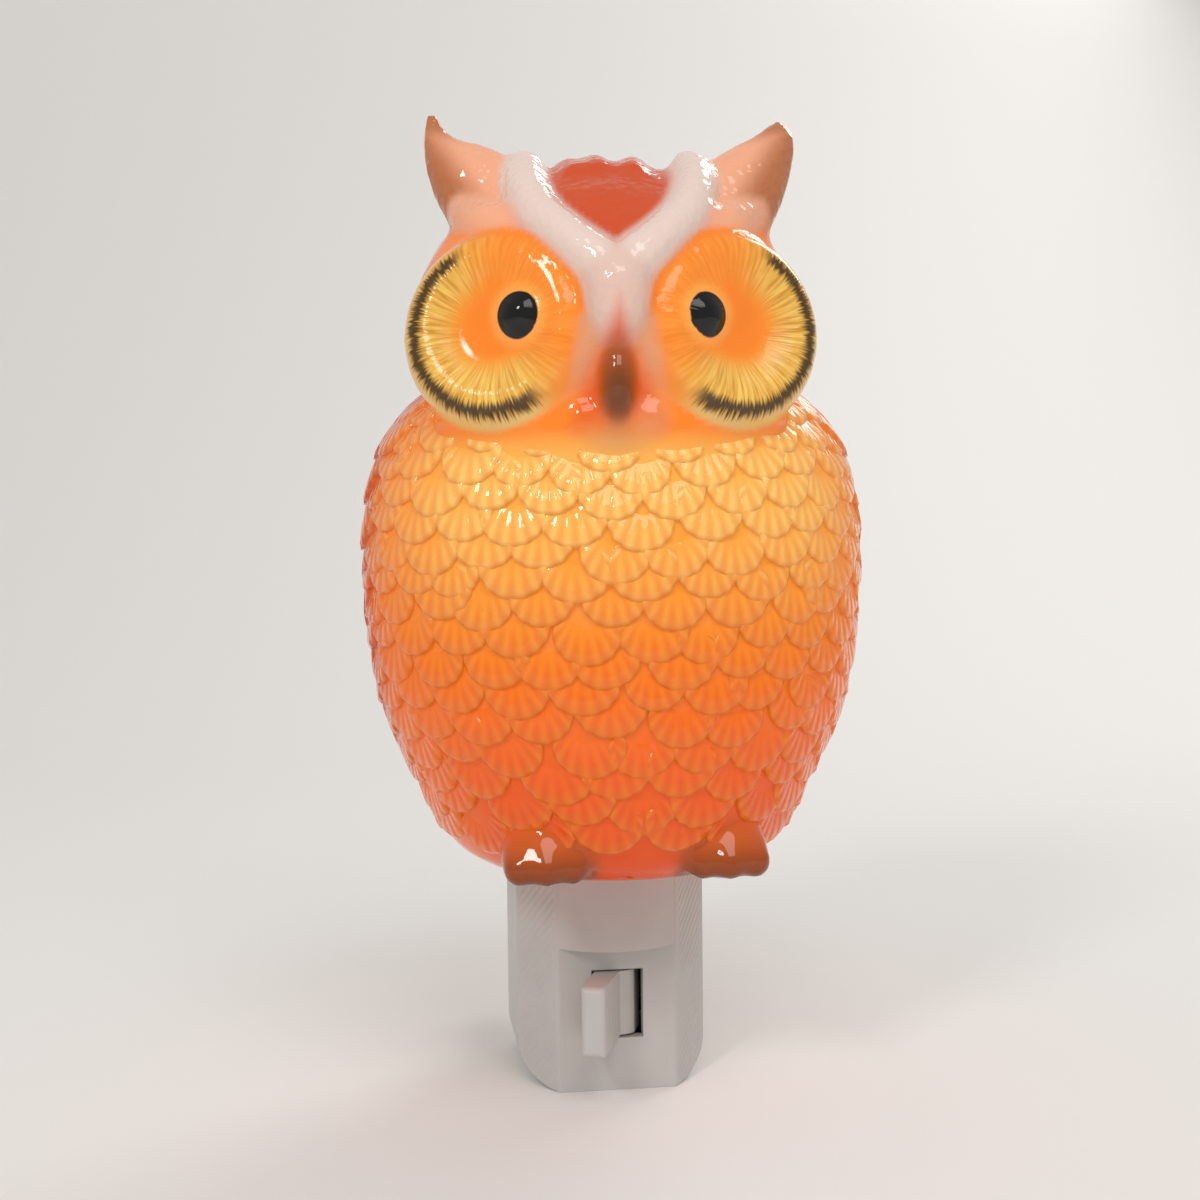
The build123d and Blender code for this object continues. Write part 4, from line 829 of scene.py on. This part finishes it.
def feather(angle, rim_lift, length, spread, rise, lean=0.0, base=0.0, on_form=on_body):
    """One feather: a fan from a hidden root, whose rim lies at an angle and a lift on the owl."""
    grid = bmesh.ops.create_grid(
        shell, x_segments=FEATHER_COLUMNS, y_segments=FEATHER_ROWS, size=1, calc_uvs=True
    )["verts"]
    flat = np.array([vert.co for vert in grid])
    across = flat[:, 0]
    row = (1 - flat[:, 1]) / 2 * FEATHER_ROWS
    rounded = np.cos(across * spread) ** FEATHER_ROUNDNESS * (1 - 0.10 * across**2)
    reach = length * np.interp(row, range(FEATHER_ROWS + 1), FEATHER_REACHES) * rounded
    out = reach * np.sin(across * spread)
    down = reach * np.cos(across * spread)
    side = out * cos(lean) + down * sin(lean)
    up = length + out * sin(lean) - down * cos(lean)
    around = np.linalg.norm(on_form(angle + TURN_STEP, rim_lift) - on_form(angle, rim_lift)) / TURN_STEP
    slope = np.linalg.norm(on_form(angle, rim_lift + 1) - on_form(angle, rim_lift))
    angles = angle + side / around
    lifts = rim_lift + up / slope
    place = on_form(angles, lifts)
    sideways = on_form(angles + TURN_STEP, lifts) - place
    normal = np.cross(sideways, on_form(angles, lifts + LIFT_STEP) - place)
    normal /= np.linalg.norm(normal, axis=1)[:, None]
    height = rise * np.interp(row, range(FEATHER_ROWS + 1), FEATHER_RISES) * (1 - 0.6 * np.abs(across) ** 2.5)
    height += base * np.interp(row, (0, 1, 4.5, 5), (0, 1, 1, 0)) - FEATHER_TUCK * across**6
    for vert, where in zip(grid, place + normal * height[:, None]):
        vert.co = where


for row in range(BREAST_ROWS):
    lift = BREAST_TOP - row * BREAST_ROW_PITCH
    half = np.interp(lift, body_line[:, 0], body_line[:, 1])
    for column in range(-BREAST_COLUMNS, BREAST_COLUMNS + 1):
        along = (column + row % 2 / 2) * BREAST_PITCH + hand.normal(0, HAND_ALONG)
        if abs(along / half) < BREAST_EDGE + ramp(lift, *FLANK_LIFTS) * FLANK_REACH:
            sag = BREAST_SAG * np.exp(-(along / SAG_HALF_WIDTH) ** 2) * max(0, 1 - row / SAG_ROWS)
            feather(
                along / half, lift - sag + hand.normal(0, HAND_LIFT),
                BREAST_LENGTH * hand.normal(1, HAND_LENGTH), BREAST_FAN * hand.normal(1, HAND_FAN),
                hand.normal(1, HAND_RISE), hand.normal(0, HAND_LEAN),
            )
for side in (-1, 1):
    for row in range(COVERT_ROWS):
        lift = COVERT_TOP - COVERT_PITCH * row
        for column in range(COVERT_COLUMNS):
            angle = COVERT_START + COVERT_SLANT * (COVERT_TOP - lift) + (column + row % 2 / 2) * COVERT_STEP
            if angle < WING_EDGE:
                feather(side * angle, lift + hand.normal(0, 0.4), lean=side * COVERT_LEAN, **COVERT)
    for column in range(FLIGHT_COUNT):
        angle = FLIGHT_START - FLIGHT_STEP * column
        feather(side * angle, FLIGHT_LOWEST + FLIGHT_PITCH * column, lean=side * FLIGHT_LEAN, **FLIGHT)
for column in range(-2, 3):
    lift = TAIL_LOWEST + TAIL_ARCH * abs(column)
    feather(pi + TAIL_STEP * column, lift, lean=TAIL_LEAN * column, **TAIL)
for row in range(BACK_ROWS):
    for column in (-1, 0, 1):
        feather(pi + (column + row % 2 / 2) * BACK_STEP, BACK_TOP - BACK_PITCH * row, **BACK)
for row in range(NAPE_ROWS):
    lift = NAPE_TOP - NAPE_PITCH * row
    for column in range(-NAPE_COLUMNS, NAPE_COLUMNS + 1):
        angle = (column + row % 2 / 2) * NAPE_STEP
        if abs(angle) < NAPE_EDGE:
            feather(pi + angle + hand.normal(0, 0.02), lift, on_form=on_head, **NAPE)

porcelain, glaze = surface("glazed_porcelain", "#F5A050", 0.3, {
    "Specular IOR Level": 0.0, "Coat Weight": 1.0, "Coat Roughness": 0.05,
})
seat = Matrix.Translation((0, OWL_AXIS_Y * MM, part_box("porcelain_shade")[0].z)) @ Matrix.Scale(MM, 4)
bmesh.ops.transform(shell, matrix=seat, verts=shell.verts)
owl = piece("porcelain_owl", shell, [porcelain])
owl.data.shade_smooth()
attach(owl, "shade")
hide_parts("porcelain_shade")

# Paint: airbrushed under the glaze, from pale yellow on the breast to deep orange at the feet, with
# pale pink brows, salmon ears, golden eye discs and reddish wings. The paint's alpha is a painted glow,
# emission that stands in for the lamp light coming through the porcelain. Carving weighs the ears'
# pricks, the rays, the lashes and the fans.
LAMP_GLOW = 0.30
BREAST_COLOURS = (
    (0, "#D04402"), (6, "#D84C02"), (16, "#E25604"), (26, "#E86A0C"), (36, "#EC821C"),
    (46, "#EE922A"), (54, "#F0A440"), (60, "#F0A848"), (64, "#EE8A2A"), (70, "#E86A14"),
)
BARE_PORCELAIN = "#F4E6D2"
HEAD_LOWEST = 56
LASH_MIDDLE = radians(-32)
LASH_REACH = (radians(102), radians(88))


def near(places, stations):
    """How far places on the head lie outside a ridge's surface."""
    line = through(stations, 5)
    gaps = np.full(len(places), 99.0)
    high = places[:, 2] > HEAD_LOWEST
    away = places[high][:, None] - line[None, :, :3] * (1, -1, 1)
    gaps[high] = (np.linalg.norm(away, axis=2) - line[None, :, 3]).min(axis=1)
    return gaps


def brush(colour, weight, glow=1.0):
    """Lays a colour over the paint where its weight says, with its share of lamp light through it, painted as
    glow.
    """
    paint[:] += (np.array((*linear(colour)[:3], glow)) - paint) * np.clip(weight, 0, 1)[:, None]


count = len(owl.data.vertices)
flat = np.empty(count * 3)
owl.data.vertices.foreach_get("co", flat)
place = (flat.reshape(-1, 3) - np.array(seat.translation)) / MM
corner_uv = np.empty(len(owl.data.loops) * 2)
owl.data.uv_layers["feather"].uv.foreach_get("vector", corner_uv)
corner_vert = np.empty(len(owl.data.loops), int)
owl.data.loops.foreach_get("vertex_index", corner_vert)
quill = np.zeros((count, 2))
quill[corner_vert] = corner_uv.reshape(-1, 2)
on_feather = quill.sum(axis=1) > 0
on_skin = ~on_feather
tip = np.where(on_feather, 1 - quill[:, 1], 0)
lift = place[:, 2]
angle = np.abs(np.arctan2(place[:, 0], -place[:, 1]))
head = (place - np.array(neck.translation)) @ np.array(neck.to_3x3())
half_head = np.c_[np.abs(head[:, 0]), head[:, 1:]]
eye = (np.c_[half_head, np.ones(count)] @ np.array(eye_frame(1).inverted()).T)[:, :3]
carving = np.zeros((count, 4))
paint = np.ones((count, 4))
for channel in range(3):
    stops = [linear(colour)[channel] for _, colour in BREAST_COLOURS]
    paint[:, channel] = np.interp(lift, [stop for stop, _ in BREAST_COLOURS], stops)

# Body: the feathers' pale bellies and dark rims, the wings and the feet. The dark at each rim is partly
# brown paint and partly painted shade in the crease where the rim tucks in.
brush("#DA7C2A", on_feather * ramp(tip, 0.25, 0.7) * ramp(lift, 66, 40) * 0.6)
brush("#F4C46C", on_feather * ramp(tip, 0.1, 0.5) * ramp(lift, 32, 56) * 0.85)
brush("#D08A34", on_feather * ramp(tip, 0.6, 0.9) * 0.4)
# Brown paint with painted shade along each feather's lower rim, where it tucks into the feather below.
brush("#A8500E", on_feather * ramp(tip, 0.88, 1.0) * 0.55)
brush("#E4701E", ramp(angle, 0.75, 1.3) * 0.6)
wing = ramp(angle, 1.2, 1.6) * ramp(lift, 4, 30)
brush("#CE4A1A", wing * 0.9, 0.7)
brush("#B43A14", wing * on_feather * ramp(tip, 0.6, 0.95) * 0.5, 0.7)
sole = np.hypot(np.abs(place[:, 0]) - FOOT_PLACE[0], (lift - 2.5) * 1.1)
ahead_of_body = ramp(-place[:, 1], 15, 20) * on_skin
brush("#BA581C", ramp(sole, 9, 5) * ahead_of_body * 0.8, 0.6)
brush("#883A0C", ramp(sole, 8.5, 5) * ramp(lift, 7, 2.5) * ahead_of_body * 0.85, 0.35)
brush("#5A260C", ramp(sole, 8.5, 6) * ramp(lift, 2.4, 0.4) * ahead_of_body * 0.85, 0.1)
carving[:, 3] = on_feather * ramp(tip, 0.15, 0.45) * ramp(tip, 0.98, 0.8)

# Head: the back, face, crown, ears and brow, then the eye discs, the beak and the chin.
above_neck = ramp(lift, 62, 67) * on_skin
brow = near(half_head, BROW_ARM)
cheek = near(half_head, CHEEK)
ledge = near(half_head, LEDGE)
brush("#D85A20", above_neck, 0.8)
brush("#EE7C1A", ramp(lift, 70, 66) * ramp(lift, 61, 65) * ramp(angle, 1.6, 1.1) * on_skin)
face = ramp(-head[:, 1], 6, 14) * above_neck
brush("#F07E22", face, 0.9)
crown = ramp(lift, 84, 88) * ramp(-head[:, 1], -2, 6) * ramp(half_head[:, 0], 15, 12)
brush("#CE4E24", crown, 0.5)
ear = np.where(head[:, 0] > 0, near(half_head, EAR_RIGHT), near(half_head, EAR_LEFT))
ear = ramp(ear, 1.4, 0.2) * ramp(lift, 90, 95)
outer_ear = ramp(half_head[:, 0] - 0.62 * (lift - 92), 13.0, 18.5)
brush("#EFA884", ear, 0.5)
brush("#B4683A", ear * np.maximum(outer_ear, ramp(lift, 104, 108)) * 0.9, 0.3)
brush("#EFB090", ramp(ledge, 1.0, -0.2) * ramp(brow, -0.5, 1.5) * 0.8, 0.6)
brush("#E8D2C6", ramp(brow, 1.4, -0.4), 0.45)
bridge = np.minimum(near(half_head, BRIDGE), near(half_head, BRIDGE[:2]))
brush("#E2C2B4", ramp(bridge, 1.2, -0.4), 0.45)
carving[:, 0] = 2.6 * ear + 1.8 * crown * ramp(brow, 0.5, 2) + 1.2 * ramp(np.minimum(brow, bridge), 1.2, 0)
brush("#D89C78", ramp(cheek, 2.0, -0.8) * ramp(lift, 65, 73) * 0.8, 0.5)
spoke = np.hypot(eye[:, 0], eye[:, 1])
from_pupil = eye - np.array(PUPILS)[(head[:, 0] > 0).astype(int)]
gaze = np.linalg.norm(from_pupil, axis=1)
toward_lash = (eye[:, 0] * cos(LASH_MIDDLE) + eye[:, 1] * sin(LASH_MIDDLE)) / np.maximum(spoke, 0.1)
below = -eye[:, 1] / np.maximum(spoke, 0.1)
on_disc = ramp(eye[:, 2], -5.0, -3.0) * ramp(spoke, 14.4, 13.4) * ramp(brow, -0.4, 0.8)
on_disc *= ramp(cheek, -0.2, 0.8) * ramp(ledge, -0.2, 0.6)
gold = on_disc * ramp(spoke, 3.4, 8.6) * ramp(toward_lash, -0.7, 0.3)
brush("#EE7E20", on_disc, 0.9)
brush("#DCA23C", gold, 0.75)
brush("#EEB450", gold * ramp(below, 0.1, 0.8) * ramp(spoke, 12.5, 10) * 0.85, 0.9)
brush("#F08A2A", on_disc * ramp(gaze, 6.0, 3.6) * 0.7)
brush("#E2BE7C", on_disc * ramp(spoke, 12.2, 13.2) * ramp(toward_lash, -0.3, 0.2) * 0.8, 0.6)
brush("#F8A850", on_disc * ramp(gaze, 5.2, 3.9) * 0.5)
carving[:, 1] = on_disc * (0.55 * gold + 0.15 * ramp(spoke, 5, 8)) * ramp(spoke, 13.0, 11.8)
carving[:, 2] = ramp(eye[:, 2], -5.0, -3.5) * ramp(toward_lash, cos(LASH_REACH[0]), cos(LASH_REACH[1]))
snout = ramp(-head[:, 1], 22, 25) * on_skin
hood = ramp(half_head[:, 0] - 0.42 * (79.4 - lift), 1.6, -1.6) * ramp(lift, 61, 67)
brush("#DE5620", hood * snout * 0.85, 0.6)
brush("#A4501E", ramp(np.hypot(half_head[:, 0] / 2.7, (lift - 69.4) / 6.0), 1.25, 0.6) * snout, 0.35)
brush("#703A14", ramp(np.hypot(half_head[:, 0] / 2.2, (lift - 68.2) / 4.4), 1.2, 0.3) * snout * 0.85, 0.2)
chin = ramp(np.hypot(half_head[:, 0] / 4.6, (lift - 62.2) / 2.4), 1.6, 0.0)
brush("#C88A58", chin * snout * 0.6, 0.6)
muzzle = np.linalg.norm(head - np.array((MUZZLE[0], -MUZZLE[1], MUZZLE[2])), axis=1)
brush("#E49A6A", ramp(muzzle, 4.2, 1.4) * on_skin * 0.6, 0.6)

# Inside: left bare and white, as poured.
half, front, back = (np.interp(lift, body_line[:, 0], body_line[:, k]) - OWL_WALL / 2 for k in (1, 2, 3))
in_body = np.hypot(place[:, 0] / half, (place[:, 1] - (back - front) / 2) / ((front + back) / 2)) < 1
from_centre = head - np.array((HEAD_CENTRE[0], -HEAD_CENTRE[1], HEAD_CENTRE[2]))
in_head = np.linalg.norm(from_centre / (np.array(HEAD_SIZES) - OWL_WALL) * 2, axis=1) < 1
brush(BARE_PORCELAIN, (in_body & (lift > 1) & (lift < 72) | in_head) & on_skin)
# The painted glow: emission as strong as the paint's alpha, standing in for the bulb's light through the
# wall.
paint[:, 3] *= LAMP_GLOW
for name, kind, field, values in (
    ("paint", "FLOAT_COLOR", "color", paint), ("carving", "FLOAT_COLOR", "color", carving),
    ("eye", "FLOAT_VECTOR", "vector", eye), ("gaze", "FLOAT_VECTOR", "vector", from_pupil),
):
    owl.data.attributes.new(name, kind, "POINT").data.foreach_set(field, values.ravel())

# Glazed porcelain: the paint shows through a clear, wet-looking glaze. Fan lines on the feathers and
# the pricks of the ears and brows are pressed in the clay, and rays, lashes and pupils are drawn by
# brush, the rays and lashes in a frame that both eyes share. Sizes within the eyes are millimetres.
FAN_LINES = 9
FAN_DEPTH = -1.6
RAY_WIDTH = 0.5
RAY_LENGTH = 5.0
RAY_HEIGHT = 3.0
HAIR_WIDTH = 0.26
LASH_CENTRE = (-0.4, -0.4, 0)
LASH_RADIUS = 11.3
LASH_HALF_WIDTH = 0.9
LASH_FRINGE = 2.8
LASH_SOFTNESS = 0.6
LASH_DENSITY = 0.95
PUPIL_EDGE = (3.80, 3.66)
PRICK_SIZE = 1.3 * MM
FLOW_SIZE = 7 * MM
RELIEF = 0.08 * MM
WAVES_PER_UNIT = 20 / (2 * pi)

painted = add(porcelain, "Attribute", attribute_name="paint")
cut = add(porcelain, "Attribute", attribute_name="carving")
pricked, rayed, lashed = add(porcelain, "SeparateColor", {0: cut}).outputs
in_eye = add(porcelain, "Attribute", attribute_name="eye").outputs["Vector"]
where = add(porcelain, "TexCoord").outputs["Object"]
fan = add(porcelain, "UVMap", uv_map="feather")
lines = add(porcelain, "TexWave", {"Vector": fan, "Scale": FAN_LINES / WAVES_PER_UNIT})
groove = add(porcelain, "Math", {0: lines, 1: cut.outputs["Alpha"]}, operation="MULTIPLY")
from_lash = add(porcelain, "VectorMath", {0: in_eye, 1: LASH_CENTRE}, operation="SUBTRACT")
on_face = add(porcelain, "VectorMath", {0: from_lash, 1: (1, 1, 0)}, operation="MULTIPLY")
reach = add(porcelain, "VectorMath", {0: on_face}, operation="LENGTH").outputs["Value"]
aim = add(porcelain, "VectorMath", {0: on_face}, operation="NORMALIZE")
rays_round = LASH_RADIUS / RAY_WIDTH
along = add(porcelain, "Math", {0: reach, 1: 1 / (RAY_LENGTH * rays_round)}, operation="MULTIPLY")
rays = add(
    porcelain, "TexNoise", {"Vector": aim, "W": along, "Scale": rays_round, "Detail": 2.0},
    noise_dimensions="4D",
)
hairs = add(
    porcelain, "TexNoise", {"Vector": aim, "W": along, "Scale": LASH_RADIUS / HAIR_WIDTH, "Detail": 1.0},
    noise_dimensions="4D",
)
ragged = add(porcelain, "Math", {0: hairs, 1: LASH_FRINGE, 2: reach}, operation="MULTIPLY_ADD")
off_lash = add(porcelain, "Math", {0: ragged, 1: LASH_RADIUS + LASH_FRINGE / 2}, operation="SUBTRACT")
lash_gap = add(porcelain, "Math", {0: off_lash}, operation="ABSOLUTE")
stroke = add(porcelain, "MapRange", {
    "Value": lash_gap, "To Max": LASH_DENSITY,
    "From Min": LASH_HALF_WIDTH + LASH_SOFTNESS, "From Max": LASH_HALF_WIDTH - LASH_SOFTNESS,
}, interpolation_type="SMOOTHSTEP")
lash = add(porcelain, "Math", {0: stroke, 1: lashed}, operation="MULTIPLY")
of_pupil = add(porcelain, "Attribute", attribute_name="gaze").outputs["Vector"]
off_pupil = add(porcelain, "VectorMath", {0: of_pupil}, operation="LENGTH").outputs["Value"]
pupil = add(porcelain, "MapRange", {
    "Value": off_pupil, "From Min": PUPIL_EDGE[0], "From Max": PUPIL_EDGE[1],
}, interpolation_type="SMOOTHSTEP")

fanned = add(porcelain, "Mix", {
    "Factor": groove, 6: painted, 7: linear("#F7DEC9"),
}, data_type="RGBA", blend_type="MULTIPLY")
streak = add(porcelain, "MapRange", {"Value": rays, "From Min": 0.36, "From Max": 0.64})
ray_tone = add(porcelain, "Mix", {
    "Factor": streak, 6: linear("#F2C866"), 7: linear("#BC7E22"),
}, data_type="RGBA")
gilded = add(porcelain, "Mix", {
    "Factor": rayed, 6: fanned.outputs[2], 7: ray_tone.outputs[2],
}, data_type="RGBA")
lined = add(porcelain, "Mix", {"Factor": lash, 6: gilded.outputs[2], 7: linear("#38240E")}, data_type="RGBA")
colour = add(porcelain, "Mix", {"Factor": pupil, 6: lined.outputs[2], 7: linear("#060505")}, data_type="RGBA")
pricks = add(porcelain, "TexVoronoi", {"Vector": where, "Scale": 1 / PRICK_SIZE})
flow = add(porcelain, "TexNoise", {"Vector": where, "Scale": 1 / FLOW_SIZE, "Detail": 1.0})
pressed = add(porcelain, "Math", {0: groove, 1: FAN_DEPTH, 2: flow}, operation="MULTIPLY_ADD")
pressed = add(porcelain, "Math", {0: pricks, 1: pricked, 2: pressed}, operation="MULTIPLY_ADD")
raised = add(porcelain, "Math", {0: rays, 1: rayed}, operation="MULTIPLY")
relief = add(porcelain, "Math", {0: raised, 1: RAY_HEIGHT, 2: pressed}, operation="MULTIPLY_ADD")
bump = add(porcelain, "Bump", {"Height": relief, "Distance": RELIEF})
# The paint's colour is also emitted at the strength of its alpha: a painted glow in place of the bulb's
# light.
fill(glaze, {
    "Base Color": colour.outputs[2], "Emission Color": colour.outputs[2],
    "Emission Strength": painted.outputs["Alpha"], "Normal": bump, "Coat Normal": bump,
})
